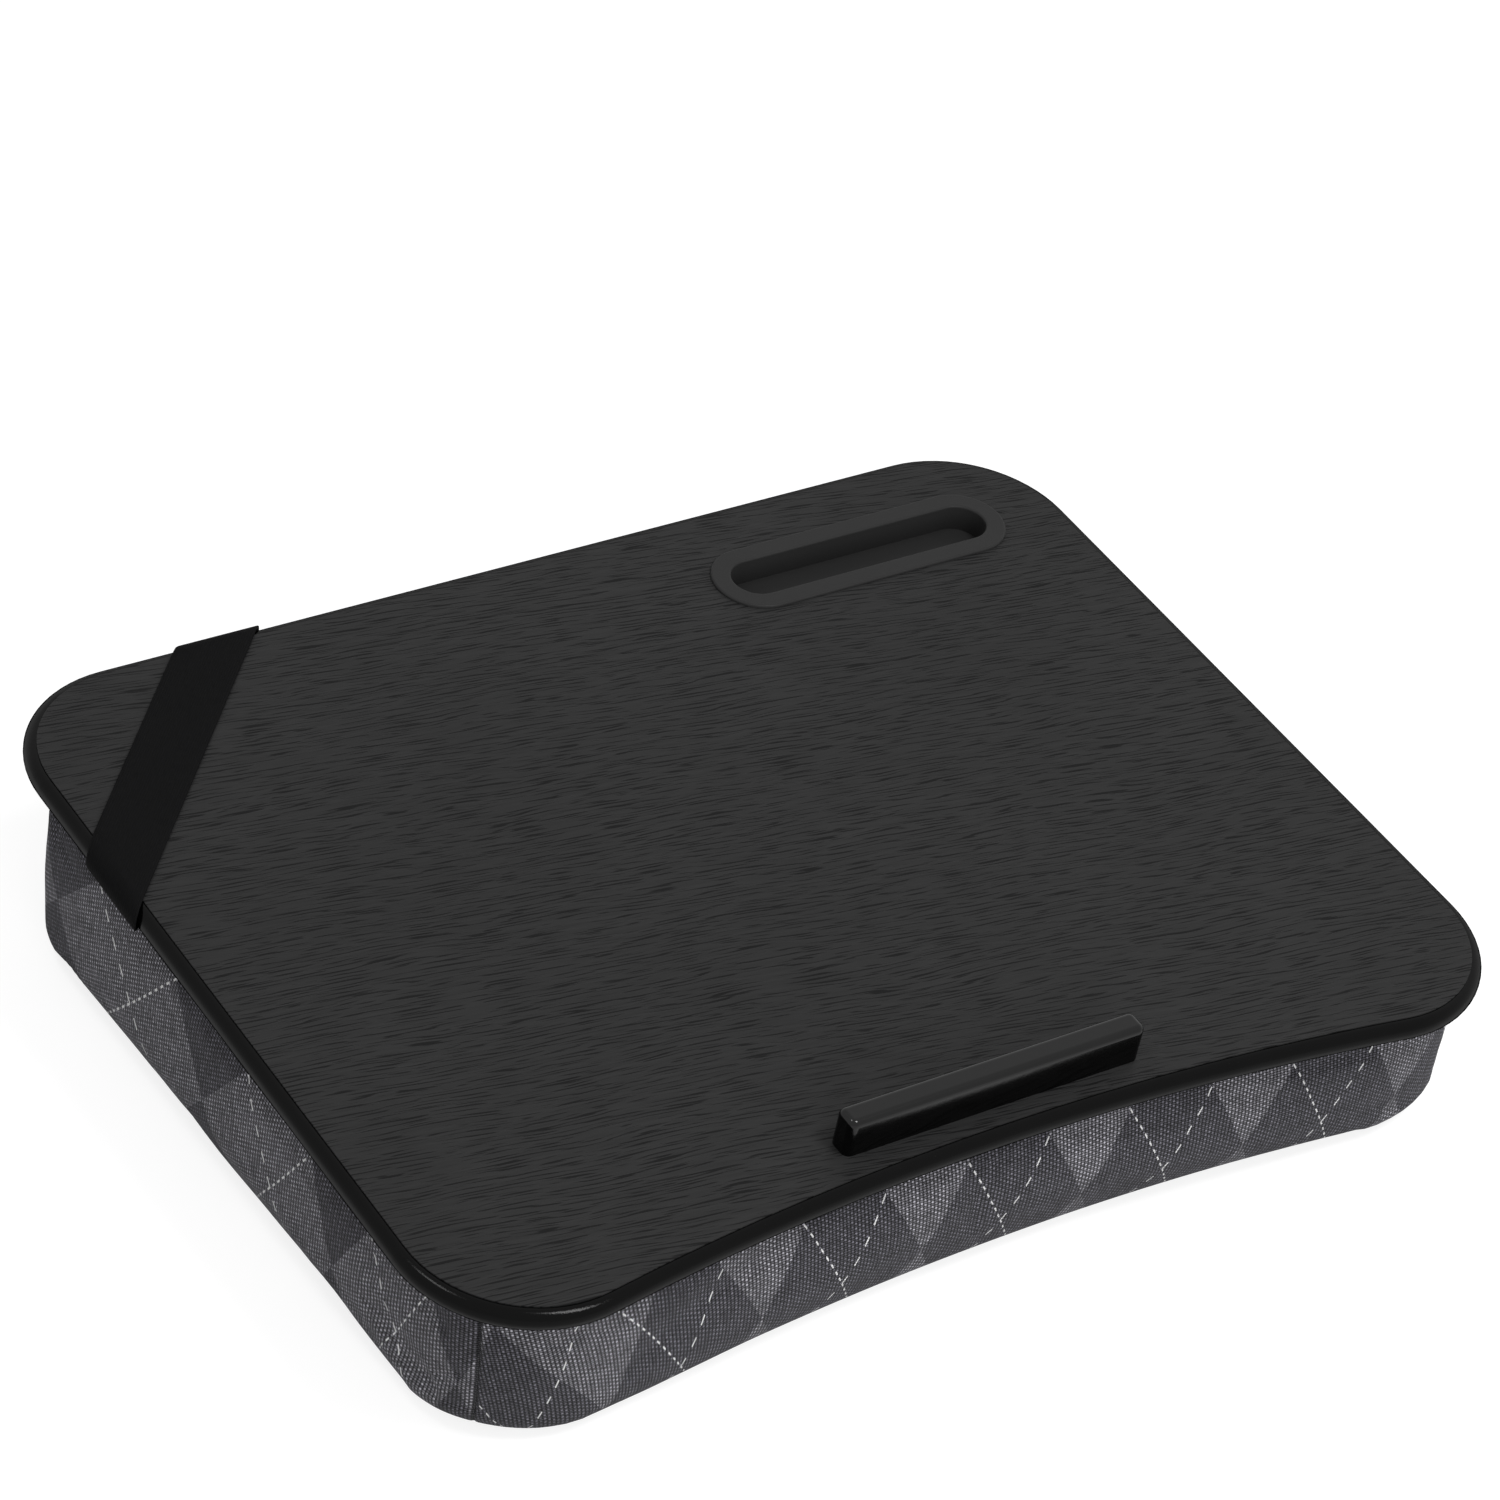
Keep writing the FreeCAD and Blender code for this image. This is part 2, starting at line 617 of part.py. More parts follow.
def make_strip(fasteners, notches):
    top, bottom = -value(HEM_BOTTOM), -value(STRIP_BOTTOM)
    setback = value("Sizes.strip_setback")
    ring = rim_prism(setback, bottom, top).cut(rim_prism(setback + value("Sizes.strip_width"), bottom, top))
    return feature("tack_strip", ring.cut(notches).cut(fasteners))


def make_fill(notches):
    gap = value("Sizes.fill_gap")
    setback = value("Sizes.strip_setback") - gap
    width = value("Sizes.strip_width") + gap * 2
    bottom = -value(STRIP_BOTTOM) - value("Sizes.staple_wire") - gap
    rebate = rim_prism(setback, bottom, overrun).cut(rim_prism(setback + width, bottom, overrun))
    cup_bottom = value(f"{DECK} - Sizes.slot_depth - Sizes.slot_floor") - gap
    cup = cup_prism(value(CUP_HOLE), cup_bottom, overrun)
    form = cushion_form(value("Sizes.cloth_thick") + gap)
    return feature("cushion_fill", form.cut(rebate).cut(cup).cut(notches))


notches = tail_notches()
hem_fixings, tail_fixings = hem_staples(notches), tail_staples()
fasteners = feature("fasteners", Part.makeCompound([hem_fixings, tail_fixings]))

pieces = [
    make_board(fasteners),
    make_laminate(),
    make_film(fasteners),
    make_slot_insert(),
    make_ledge(),
    make_screws(),
    *make_strap(fasteners.Shape),
    feature("strap_staples", tail_fixings),
    *make_cover(fasteners.Shape, notches),
    make_strip(fasteners.Shape, notches),
    feature("cover_staples", hem_fixings),
    make_fill(notches),
]
doc.recompute()


def seat():
    """Leans the board so that the base lies flat at zero, in the middle of the tray's footprint."""
    lean = math.radians(lean_degrees)
    edge, build = value("Sizes.edge_round"), value(STRAP_BUILD)
    reach = (half_depth - edge) * math.cos(lean)
    front = -reach - (value("Sizes.board_thick") - edge) * math.sin(lean) - edge
    back = reach - (edge - value("Sizes.film_thick")) * math.sin(lean) + edge + build
    height = (value("Sizes.film_thick") + value(CUSHION_HEIGHT)) * math.cos(lean)
    return Placement(Vector(build / 2, -(front + back) / 2, height), Rotation(Vector(1, 0, 0), lean_degrees))


for piece in pieces:
    piece.Placement = seat()
doc.recompute()

for item in doc.Objects:
    if {"Invalid", "Error"} & set(item.State):
        raise RuntimeError(f"{item.Label} failed: {item.State}")
for piece in pieces:
    shape = piece.Shape
    if shape.isNull() or not shape.isValid() or not shape.Solids:
        raise RuntimeError(f"{piece.Label} has no valid solid")
    print(f"{piece.Label}: {len(shape.Solids)} solids, {shape.Volume:.0f} cubic millimetres")

os.makedirs("parts", exist_ok=True)
for piece in pieces:
    piece.Shape.exportStep(f"parts/{piece.Label}.step")
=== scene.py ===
# %% [markdown]
# # A lap tray on a cushion
# The tray is a laminated board with a painted edge. It has a ledge that stops a device from sliding, a
# slot for a phone and an elastic strap across one corner. A wedge-shaped cushion in argyle canvas is
# stapled to its underside. The rigid pieces come ready-made from the frame, so this lesson gives them
# their finishes. The cushion's cover and the strap are soft, so they are modelled here as meshes.

import json
import math

import bpy
import numpy as np
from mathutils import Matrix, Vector


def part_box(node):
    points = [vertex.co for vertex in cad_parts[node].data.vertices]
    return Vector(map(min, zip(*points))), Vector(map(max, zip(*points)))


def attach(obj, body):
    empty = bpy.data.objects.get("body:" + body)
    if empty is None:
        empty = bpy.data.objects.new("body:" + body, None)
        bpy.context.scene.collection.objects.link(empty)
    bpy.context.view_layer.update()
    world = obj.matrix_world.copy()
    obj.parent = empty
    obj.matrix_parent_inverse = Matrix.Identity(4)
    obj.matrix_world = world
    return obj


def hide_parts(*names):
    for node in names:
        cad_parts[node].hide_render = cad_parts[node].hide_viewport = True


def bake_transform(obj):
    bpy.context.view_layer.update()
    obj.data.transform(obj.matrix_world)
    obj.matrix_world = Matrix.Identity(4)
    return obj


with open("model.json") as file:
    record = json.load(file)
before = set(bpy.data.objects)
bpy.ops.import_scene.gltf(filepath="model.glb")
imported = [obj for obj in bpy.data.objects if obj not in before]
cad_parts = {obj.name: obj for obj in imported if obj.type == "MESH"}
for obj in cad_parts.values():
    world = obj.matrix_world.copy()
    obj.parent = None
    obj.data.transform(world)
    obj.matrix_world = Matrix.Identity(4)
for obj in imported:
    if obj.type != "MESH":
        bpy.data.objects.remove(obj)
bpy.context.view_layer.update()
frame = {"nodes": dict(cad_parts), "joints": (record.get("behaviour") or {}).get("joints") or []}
nodes = frame["nodes"]
scene = bpy.context.scene
MM = 0.001
print("nodes in the frame:", len(nodes))

# %% [markdown]
# ## Camera
# A long lens from well back keeps the board's edges nearly parallel, as a catalogue picture does. The
# camera is rolled a little, so that the tray seems to tip towards the reader.

# %% Camera
camera_data = bpy.data.cameras.new("catalogue_camera")
camera_data.sensor_width = 36
camera_data.lens = 129.82
CAMERA_PLACE = (-0.97386, -1.20938, 1.25643)
CAMERA_TURNS = (53.476, -7.375, -33.122)
camera = bpy.data.objects.new("catalogue_camera", camera_data)
camera.location = CAMERA_PLACE
camera.rotation_euler = [math.radians(turn) for turn in CAMERA_TURNS]
scene.collection.objects.link(camera)
scene.camera = camera
print("camera at", tuple(camera.location))

# %% [markdown]
# ## Nodes of a material
# Materials are built from many small nodes. These helpers add a node, set its options and fill its inputs
# in one call, so that a material reads like a recipe.


# %% Helpers for materials
def put(tree, kind, inputs=None, **options):
    """A new node with its options, and its inputs as plain values or as sockets of other nodes."""
    made = tree.nodes.new(kind)
    for name, option in options.items():
        setattr(made, name, option)
    for name, given in (inputs or {}).items():
        if isinstance(given, bpy.types.NodeSocket):
            tree.links.new(given, made.inputs[name])
        else:
            made.inputs[name].default_value = given
    return made


def work_out(tree, operation, *terms):
    """Result of a Math node."""
    return put(tree, "ShaderNodeMath", dict(enumerate(terms)), operation=operation).outputs[0]


def between(tree, factor, first, second):
    """Colour between two others."""
    mix = put(tree, "ShaderNodeMix", {0: factor, 6: first, 7: second}, data_type="RGBA")
    return mix.outputs[2]


def rescale(tree, value, low, high, new_low, new_high):
    """A value carried smoothly from one range to another."""
    inputs = {"Value": value, "From Min": low, "From Max": high, "To Min": new_low, "To Max": new_high}
    return put(tree, "ShaderNodeMapRange", inputs, interpolation_type="SMOOTHSTEP").outputs[0]


def noise(tree, place, scale, detail=2.0, roughness=0.5):
    """Soft random value over a place."""
    inputs = {"Vector": place, "Scale": scale, "Detail": detail, "Roughness": roughness}
    return put(tree, "ShaderNodeTexNoise", inputs).outputs[0]


def stretched(tree, place, scale):
    """A place scaled by its own amount along each axis."""
    return put(tree, "ShaderNodeMapping", {"Vector": place, "Scale": scale}).outputs[0]


def new_group(name, inputs, outputs):
    """An empty node group with its sockets. Returns the group, its input node and its output node."""
    group = bpy.data.node_groups.new(name, "ShaderNodeTree")
    for label, kind in inputs.items():
        group.interface.new_socket(label, in_out="INPUT", socket_type=f"NodeSocket{kind}")
    for label, kind in outputs.items():
        group.interface.new_socket(label, in_out="OUTPUT", socket_type=f"NodeSocket{kind}")
    return group, group.nodes.new("NodeGroupInput").outputs, group.nodes.new("NodeGroupOutput").inputs


def use(tree, group, **inputs):
    """Places a group in a material and returns its outputs."""
    made = put(tree, "ShaderNodeGroup", node_tree=group)
    for label, given in inputs.items():
        socket = made.inputs[label.replace("_", " ")]
        if isinstance(given, bpy.types.NodeSocket):
            tree.links.new(given, socket)
        else:
            socket.default_value = given
    return made.outputs


def new_finish(name, **values):
    """A material whose principled shader has these plain values. Returns it with its tree and shader."""
    material = bpy.data.materials.new(name)
    material.use_nodes = True
    shader = material.node_tree.nodes["Principled BSDF"]
    for label, value in values.items():
        shader.inputs[label.replace("_", " ")].default_value = value
    return material, material.node_tree, shader


def object_place(tree):
    return put(tree, "ShaderNodeTexCoord").outputs["Object"]


def raise_surface(tree, shader, height, distance, strength=1.0):
    """Bump from a height, where the distance is how far a height of 1 stands out."""
    bump = put(tree, "ShaderNodeBump", {"Height": height, "Distance": distance, "Strength": strength})
    tree.links.new(bump.outputs[0], shader.inputs["Normal"])


def dress(material, *names):
    """Gives nodes of the frame a finish."""
    for name in names:
        nodes[name].data.materials.clear()
        nodes[name].data.materials.append(material)
        for face in nodes[name].data.polygons:
            face.material_index = 0
    print(material.name, "on", ", ".join(names))


# %% [markdown]
# ## Mottle
# No real surface has one even colour. A broad soft noise makes each finish a little lighter here and
# darker there. It is a group, because nearly every material on the tray uses it.

# %% Mottle group
mottle, given, result = new_group("mottle", {"Scale": "Float", "Spread": "Float"}, {"Value": "Float"})
patches = noise(mottle, put(mottle, "ShaderNodeTexCoord").outputs["Object"], given["Scale"], detail=3.0)
centred = work_out(mottle, "SUBTRACT", patches, 0.5)
swing = work_out(mottle, "MULTIPLY", centred, given["Spread"])
mottle.links.new(work_out(mottle, "ADD", swing, 1.0), result["Value"])
print("group", mottle.name)

# %% [markdown]
# ## Plain weave
# In canvas, two sets of yarns go over and under each other by turns. With S and T as sine waves across
# the two sets, the higher of |S| + S*T and |T| - S*T is a plain weave. The yarns of a heathered cloth
# also differ in shade along their length, which a stretched noise gives. The cover and the strap both use
# this group.

# %% Weave group
weave, given, result = new_group(
    "plain_weave",
    {"Place": "Vector", "Across": "Float", "Along": "Float"},
    {"Height": "Float", "Heather": "Float", "Warp": "Float"},
)
place = put(weave, "ShaderNodeSeparateXYZ", {0: given["Place"]}).outputs
warp_count = work_out(weave, "DIVIDE", place[0], given["Across"])
weft_count = work_out(weave, "DIVIDE", place[1], given["Along"])
warp_wave = work_out(weave, "SINE", work_out(weave, "MULTIPLY", warp_count, math.pi))
weft_wave = work_out(weave, "SINE", work_out(weave, "MULTIPLY", weft_count, math.pi))
crossing = work_out(weave, "MULTIPLY", warp_wave, weft_wave)
warp_top = work_out(weave, "ADD", work_out(weave, "ABSOLUTE", warp_wave), crossing)
weft_top = work_out(weave, "SUBTRACT", work_out(weave, "ABSOLUTE", weft_wave), crossing)
height = work_out(weave, "MULTIPLY", work_out(weave, "MAXIMUM", warp_top, weft_top), 0.5)
weave.links.new(height, result["Height"])
warp_yarn = work_out(weave, "FLOOR", warp_count)
weft_yarn = work_out(weave, "FLOOR", weft_count)
YARN_STEP = 7.31
YARN_RUN = 0.12
warp_line = put(weave, "ShaderNodeCombineXYZ", {
    0: work_out(weave, "MULTIPLY", warp_yarn, YARN_STEP),
    1: work_out(weave, "MULTIPLY", weft_count, YARN_RUN),
}).outputs[0]
weft_line = put(weave, "ShaderNodeCombineXYZ", {
    0: work_out(weave, "MULTIPLY", warp_count, YARN_RUN),
    1: work_out(weave, "MULTIPLY", weft_yarn, YARN_STEP),
}).outputs[0]
over = work_out(weave, "GREATER_THAN", warp_top, weft_top)
warp_shade = noise(weave, warp_line, 1.0, detail=1.0)
weft_shade = noise(weave, weft_line, 1.0, detail=1.0)
shade = put(weave, "ShaderNodeMix", {0: over, 2: weft_shade, 3: warp_shade}).outputs[0]
weave.links.new(shade, result["Heather"])
weave.links.new(rescale(weave, crossing, -0.25, 0.25, 0.0, 1.0), result["Warp"])
print("group", weave.name)

# %% [markdown]
# ## Fine bumps
# Brushed paint and moulded plastic are never quite flat. A fine noise used as a height breaks up their
# highlights.

# %% Fine bumps group
fine_bumps, given, result = new_group("fine_bumps", {"Scale": "Float"}, {"Height": "Float"})
bumps = noise(fine_bumps, put(fine_bumps, "ShaderNodeTexCoord").outputs["Object"], given["Scale"], 2.0, 0.6)
fine_bumps.links.new(bumps, result["Height"])
print("group", fine_bumps.name)

# %% [markdown]
# ## Painted board edge
# The board is fibreboard with a black gloss edge. The paint follows the rounded edge and has a slight
# orange peel, which makes the corner's highlight grainy. Seen at a low angle it is matt, so the edge
# stays black above the floor.

# %% Edge paint
EDGE_GLOSS = 0.085
GLOSS_FROM, GLOSS_TO = 0.4, 0.75
PEEL_DEEP = 0.1 * MM


def edge_paint():
    material, tree, shader = new_finish("edge_paint", Roughness=0.1)
    facing = put(tree, "ShaderNodeLayerWeight").outputs["Facing"]
    gloss = rescale(tree, facing, GLOSS_FROM, GLOSS_TO, EDGE_GLOSS, 0.0)
    tree.links.new(gloss, shader.inputs["Specular IOR Level"])
    shade = use(tree, mottle, Scale=60.0, Spread=0.6)["Value"]
    light = work_out(tree, "MULTIPLY", shade, 0.5)
    colour = between(tree, light, (0.0003, 0.0003, 0.0003, 1), (0.002, 0.002, 0.002, 1))
    tree.links.new(colour, shader.inputs["Base Color"])
    peel = use(tree, fine_bumps, Scale=1800.0)["Height"]
    raise_surface(tree, shader, peel, PEEL_DEEP, 0.4)
    return material


dress(edge_paint(), "board_core")

# %% [markdown]
# ## Grained laminate
# The deck is a dark sheet embossed like open-pored wood: thin, wavy, broken lines that run nearly along
# the tray's width. A sine wave across the grain spaces the lines evenly, a noise that is stretched along
# the grain breaks them up, and a slower noise bends them.

# %% Laminate
GRAIN_TURN = math.radians(8)
GRAIN_BEND = 9 * MM
GRAIN_DEEP = 0.14 * MM
LINE_PITCH = 1.9 * MM
LINE_WOBBLE = 16.0
LINE_WEIGHT = 0.11


def grained_laminate():
    material, tree, shader = new_finish("grained_laminate", Specular_IOR_Level=0.08)
    turned = {"Vector": object_place(tree), "Angle": GRAIN_TURN}
    place = put(tree, "ShaderNodeVectorRotate", turned, rotation_type="Z_AXIS").outputs[0]
    drift = noise(tree, stretched(tree, place, (9, 22, 1)), 1.0, detail=2.0)
    bend = put(tree, "ShaderNodeCombineXYZ", {1: work_out(tree, "MULTIPLY", drift, GRAIN_BEND)}).outputs[0]
    bent = put(tree, "ShaderNodeVectorMath", {0: place, 1: bend}, operation="ADD").outputs[0]
    across = put(tree, "ShaderNodeSeparateXYZ", {0: bent}).outputs[1]
    wobble = noise(tree, stretched(tree, bent, (45, 260, 1)), 1.0, detail=1.0)
    wobble = work_out(tree, "MULTIPLY", wobble, LINE_WOBBLE)
    phase = work_out(tree, "MULTIPLY_ADD", across, 2 * math.pi / LINE_PITCH, wobble)
    lines = work_out(tree, "MULTIPLY", work_out(tree, "SINE", phase), LINE_WEIGHT)
    pores = noise(tree, stretched(tree, bent, (55, 1500, 1)), 1.0, detail=1.0, roughness=0.4)
    fibres = noise(tree, stretched(tree, bent, (40, 700, 1)), 1.0, detail=2.0, roughness=0.5)
    streak = rescale(tree, work_out(tree, "ADD", pores, lines), 0.52, 0.68, 0.0, 1.0)
    ground = between(tree, fibres, (0.0125, 0.0125, 0.0126, 1), (0.0235, 0.0235, 0.0236, 1))
    shade = use(tree, mottle, Scale=9.0, Spread=0.35)["Value"]
    colour = between(tree, work_out(tree, "MULTIPLY", streak, 0.9), ground, (0.004, 0.004, 0.0041, 1))
    colour = put(tree, "ShaderNodeVectorMath", {0: colour, 3: shade}, operation="SCALE").outputs[0]
    tree.links.new(colour, shader.inputs["Base Color"])
    tree.links.new(rescale(tree, streak, 0.0, 1.0, 0.46, 0.62), shader.inputs["Roughness"])
    height = work_out(tree, "SUBTRACT", work_out(tree, "MULTIPLY", fibres, 0.35), streak)
    raise_surface(tree, shader, height, GRAIN_DEEP, 0.8)
    return material


dress(grained_laminate(), "top_laminate")

# %% [markdown]
# ## Moulded plastics, film, strip and steel
# The slot's cup is satin plastic, the ledge is gloss plastic. Under the board are a thin film, the strip
# that clamps the canvas, and zinc plated staples and screws.


# %% Plastics, film, strip and steel
def moulded(name, dark, light, roughness, specular, peel_scale, peel_depth):
    """A moulded or rolled surface, mottled between two colours, with a fine peel."""
    material, tree, shader = new_finish(name, Roughness=roughness, Specular_IOR_Level=specular)
    shade = use(tree, mottle, Scale=35.0, Spread=0.8)["Value"]
    colour = between(tree, work_out(tree, "MULTIPLY", shade, 0.5), (*dark, 1), (*light, 1))
    tree.links.new(colour, shader.inputs["Base Color"])
    raise_surface(tree, shader, use(tree, fine_bumps, Scale=peel_scale)["Height"], peel_depth)
    return material


def zinc_steel():
    material, tree, shader = new_finish("zinc_steel", Metallic=1.0)
    shade = use(tree, mottle, Scale=400.0, Spread=0.5)["Value"]
    light = work_out(tree, "MULTIPLY", shade, 0.5)
    colour = between(tree, light, (0.35, 0.35, 0.37, 1), (0.62, 0.62, 0.64, 1))
    tree.links.new(colour, shader.inputs["Base Color"])
    tree.links.new(rescale(tree, shade, 0.7, 1.3, 0.28, 0.45), shader.inputs["Roughness"])
    return material


satin = moulded(
    "satin_plastic", (0.016,) * 3, (0.022,) * 3,
    roughness=0.42, specular=0.08, peel_scale=1800.0, peel_depth=0.05 * MM,
)
gloss = moulded(
    "gloss_plastic", (0.0005,) * 3, (0.0015,) * 3,
    roughness=0.13, specular=0.28, peel_scale=300.0, peel_depth=0.02 * MM,
)
film = moulded(
    "backing_film", (0.006,) * 3, (0.01,) * 3,
    roughness=0.6, specular=0.12, peel_scale=700.0, peel_depth=0.08 * MM,
)
fibre = moulded(
    "tack_strip", (0.07, 0.062, 0.052), (0.11, 0.1, 0.085),
    roughness=0.7, specular=0.3, peel_scale=900.0, peel_depth=0.1 * MM,
)
dress(satin, "slot_insert")
dress(gloss, "device_ledge")
dress(film, "backing_film")
dress(fibre, "tack_strip")
dress(zinc_steel(), "ledge_screws", "cover_staples", "strap_staples")

# %% [markdown]
# ## The shape of the rim
# The board, and so the cushion under it, has four round corners and a hollowed front. Every point of that
# outline is an anchor plus a normal times a reach. Moving the outline inwards only makes each reach
# shorter, so one list of anchors gives every ring of the cushion, and the columns of the mesh line up
# from top to bottom.

# %% Rim columns
board_low, board_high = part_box("board_core")
LIFT_AXIS = Vector(frame["joints"][0]["axis"]).normalized()
LEAN = math.atan2(-LIFT_AXIS.y, LIFT_AXIS.z)
BOARD_WIDTH = 451 * MM
BOARD_DEPTH = 352 * MM
CORNER = 49.5 * MM
FRONT_DIP = 14 * MM
FILM = 0.4 * MM
HEIGHT = 72.5 * MM
SEAT_SHIFT = -0.514 * MM
CORNER_X = BOARD_WIDTH / 2 - CORNER
CORNER_Y = BOARD_DEPTH / 2 - CORNER
FRONT_Y = BOARD_DEPTH / 2 - FRONT_DIP
FRONT_RADIUS = (CORNER_X ** 2 + FRONT_DIP ** 2) / (2 * FRONT_DIP) - CORNER
HOLLOW_Y = -FRONT_Y - FRONT_RADIUS
HOLLOW_TURN = math.asin(CORNER_X / (FRONT_RADIUS + CORNER))
SEAT = np.array([(board_low.x + board_high.x) / 2, SEAT_SHIFT, (FILM + HEIGHT) * math.cos(LEAN)])
STEP = 5 * MM
SEAM_STEPS = (0.0, 0.5 * MM, 1.1 * MM, 1.9 * MM, 3 * MM, 4.6 * MM)
SEAM_RADIUS = 38 * MM
SEAM_TURN = math.radians(5)


def corner_turns(start, end):
    """Angles round half a corner, from a seam to a straight side or back, closer together at the seam."""
    near = [step / SEAM_RADIUS for step in SEAM_STEPS]
    sign = 1 if end > start else -1
    far = np.linspace(near[-1], abs(end - start), 9)[1:]
    return [start + sign * turn for turn in near + list(far)]


def corner_columns(centre, turns):
    return [(centre, (math.cos(turn), math.sin(turn)), CORNER) for turn in turns]


def side_columns(start, end, normal, reach):
    """Columns along a straight side, without its ends."""
    count = max(2, round(math.dist(start, end) / STEP))
    start, way = np.array(start), np.subtract(end, start)
    return [(start + way * k / count, normal, reach) for k in range(1, count)]


def hollow_columns():
    """Columns along the hollowed front, without its ends."""
    count = round(2 * CORNER_X / STEP)
    turns = np.linspace(-HOLLOW_TURN, HOLLOW_TURN, count + 1)[1:-1]
    return [((0.0, HOLLOW_Y), (-math.sin(t), -math.cos(t)), -FRONT_RADIUS) for t in turns]


def panel_columns():
    """Columns of the four walls, front, right, back and left, each from seam to seam."""
    quarter = math.pi / 4
    low = math.pi * 1.5
    front_left, front_right = 5 * quarter - SEAM_TURN, 7 * quarter + SEAM_TURN
    centres = {(x, y): (x * CORNER_X, y * CORNER_Y) for x in (-1, 1) for y in (-1, 1)}

    def out_of(corner, seam, side):
        return corner_columns(centres[corner], corner_turns(seam, side))

    def into(corner, side, seam):
        return out_of(corner, seam, side)[::-1]

    front = out_of((-1, -1), front_left, low + HOLLOW_TURN) + hollow_columns()
    front += into((1, -1), low - HOLLOW_TURN, front_right)
    right = out_of((1, -1), front_right, 8 * quarter)
    right += side_columns((0, -CORNER_Y), (0, CORNER_Y), (1, 0), BOARD_WIDTH / 2) + into((1, 1), 0, quarter)
    back = out_of((1, 1), quarter, 2 * quarter)
    back += side_columns((CORNER_X, 0), (-CORNER_X, 0), (0, 1), BOARD_DEPTH / 2)
    back += into((-1, 1), 2 * quarter, 3 * quarter)
    left = out_of((-1, 1), 3 * quarter, 4 * quarter)
    left += side_columns((0, CORNER_Y), (0, -CORNER_Y), (-1, 0), BOARD_WIDTH / 2)
    left += into((-1, -1), 4 * quarter, front_left)
    return {"front": front, "right": right, "back": back, "left": left}


panels = panel_columns()
columns = [column for panel in panels.values() for column in panel[:-1]]
anchors = np.array([column[0] for column in columns], float)
normals = np.array([column[1] for column in columns], float)
reaches = np.array([column[2] for column in columns], float)
print("columns round the cushion:", len(columns), "lean in degrees:", round(math.degrees(LEAN), 3))

# %% [markdown]
# ## The cushion's section
# From the board down, the wall swells a little and ends in a round lower edge, and the base is flat. Each
# row below is a setback from the rim, a drop under the board and a share of the way down the wall. Rows
# near the board lie in the board's plane, and rows near the base lie level. The filling pushes the
# hollowed front and the sides out near the base. This bow ends at the front left corner and runs on
# into the front right one. Three corners are drawn in near the base, and the base has settled with a
# slight turn. At the front right corner the cover sits to the right, and more so near the base.

# %% Rows of the cushion
SETBACK = 11.5 * MM
SWELL = 0.8 * MM
FRONT_FILL = 5.5 * MM
SIDE_FILL = 1.5 * MM
FRONT_DRIFT = 2 * MM
BASE_TURN = math.radians(1)
BOW_LEFT = 178 * MM
BOW_RIGHT = 205 * MM
RIGHT_PUSH = 9 * MM
PUSH_ABOVE = 0.7
CORNER_DRAWS = {(-1, -1): 3.5 * MM, (1, -1): -1 * MM, (1, 1): 2 * MM, (-1, 1): 2 * MM}
ROUND = 12 * MM
BASE_SEAM = 25.5 * MM
HEM = ((17 * MM, 4 * MM), (16 * MM, 0.3 * MM), (13 * MM, 0.1 * MM))
BESIDE_SEAM = (-1.2 * MM, -0.5 * MM, 0.0, 0.5 * MM, 1.2 * MM)
WALL_ROWS = 16
TURN_ROWS = 12
ROUND_START = FILM + HEIGHT - ROUND
rim_x = anchors[:, 0] + normals[:, 0] * reaches
bow_reach = np.where(rim_x < 0, BOW_LEFT, BOW_RIGHT)
bows = np.maximum(-normals[:, 1], 0) * (1 - np.minimum(np.abs(rim_x) / bow_reach, 1) ** 4)
draws = sum(
    draw * 2 * np.maximum(x * normals[:, 0], 0) * np.maximum(y * normals[:, 1], 0)
    for (x, y), draw in CORNER_DRAWS.items()
)
pushes = RIGHT_PUSH * 2 * np.maximum(normals[:, 0], 0) * np.maximum(-normals[:, 1], 0)


def ring(setback, drop, share=0.0):
    """One row of points, in the frame of the tray. The share says how far down the wall it lies."""
    fill = math.sin(math.pi / 2 * share)
    out = SIDE_FILL * fill * normals[:, 0] ** 2 - draws * share ** 2
    plan = anchors + normals * (reaches - setback + out)[:, None]
    plan[:, 1] += fill * (BASE_TURN * plan[:, 0] - FRONT_FILL * bows)
    plan[:, 0] += fill * FRONT_DRIFT * np.clip(-2 * plan[:, 1] / BOARD_DEPTH, 0, 1)
    plan[:, 0] += pushes * (PUSH_ABOVE + (1 - PUSH_ABOVE) * share)
    turn = LEAN * (1 - share)
    points = np.zeros((len(plan), 3))
    points[:, 0] = plan[:, 0]
    points[:, 1] = plan[:, 1] * math.cos(turn) + drop * math.sin(LEAN)
    points[:, 2] = plan[:, 1] * math.sin(turn) - drop * math.cos(LEAN)
    return points + SEAT


def wall_setback(share):
    """Setback of the wall at a share of the way down to the round edge."""
    belly = math.sin(math.pi * share ** 0.8)
    return SETBACK - SWELL * belly


def cushion_rows():
    """Rings of the cushion from the hem under the board to the seam in its base."""
    rows = [ring(inset, FILM + below) for inset, below in HEM]
    for share in np.linspace(0, 1, WALL_ROWS + 1):
        drop = FILM + (ROUND_START - FILM) * share
        rows.append(ring(wall_setback(share), drop, share))
    for turn in np.linspace(0, math.pi / 2, TURN_ROWS + 1)[1:]:
        inset = SETBACK + ROUND * (1 - math.cos(turn))
        rows.append(ring(inset, FILM + HEIGHT - ROUND * (1 - math.sin(turn)), 1))
    return rows + [ring(BASE_SEAM + step, FILM + HEIGHT, 1) for step in BESIDE_SEAM]


rows = cushion_rows()
print("rows from hem to base:", len(rows))

# %% [markdown]
# ## The cushion as a mesh
# The rows and columns make a net of four-sided faces. The base is closed with rings that shrink towards
# its middle, and the hem with one face under the board. Each panel of the cover was cut and sewn
# separately, so each has its own flat coordinates: one set in metres for the weave, and one in diamonds
# for the printed argyle.

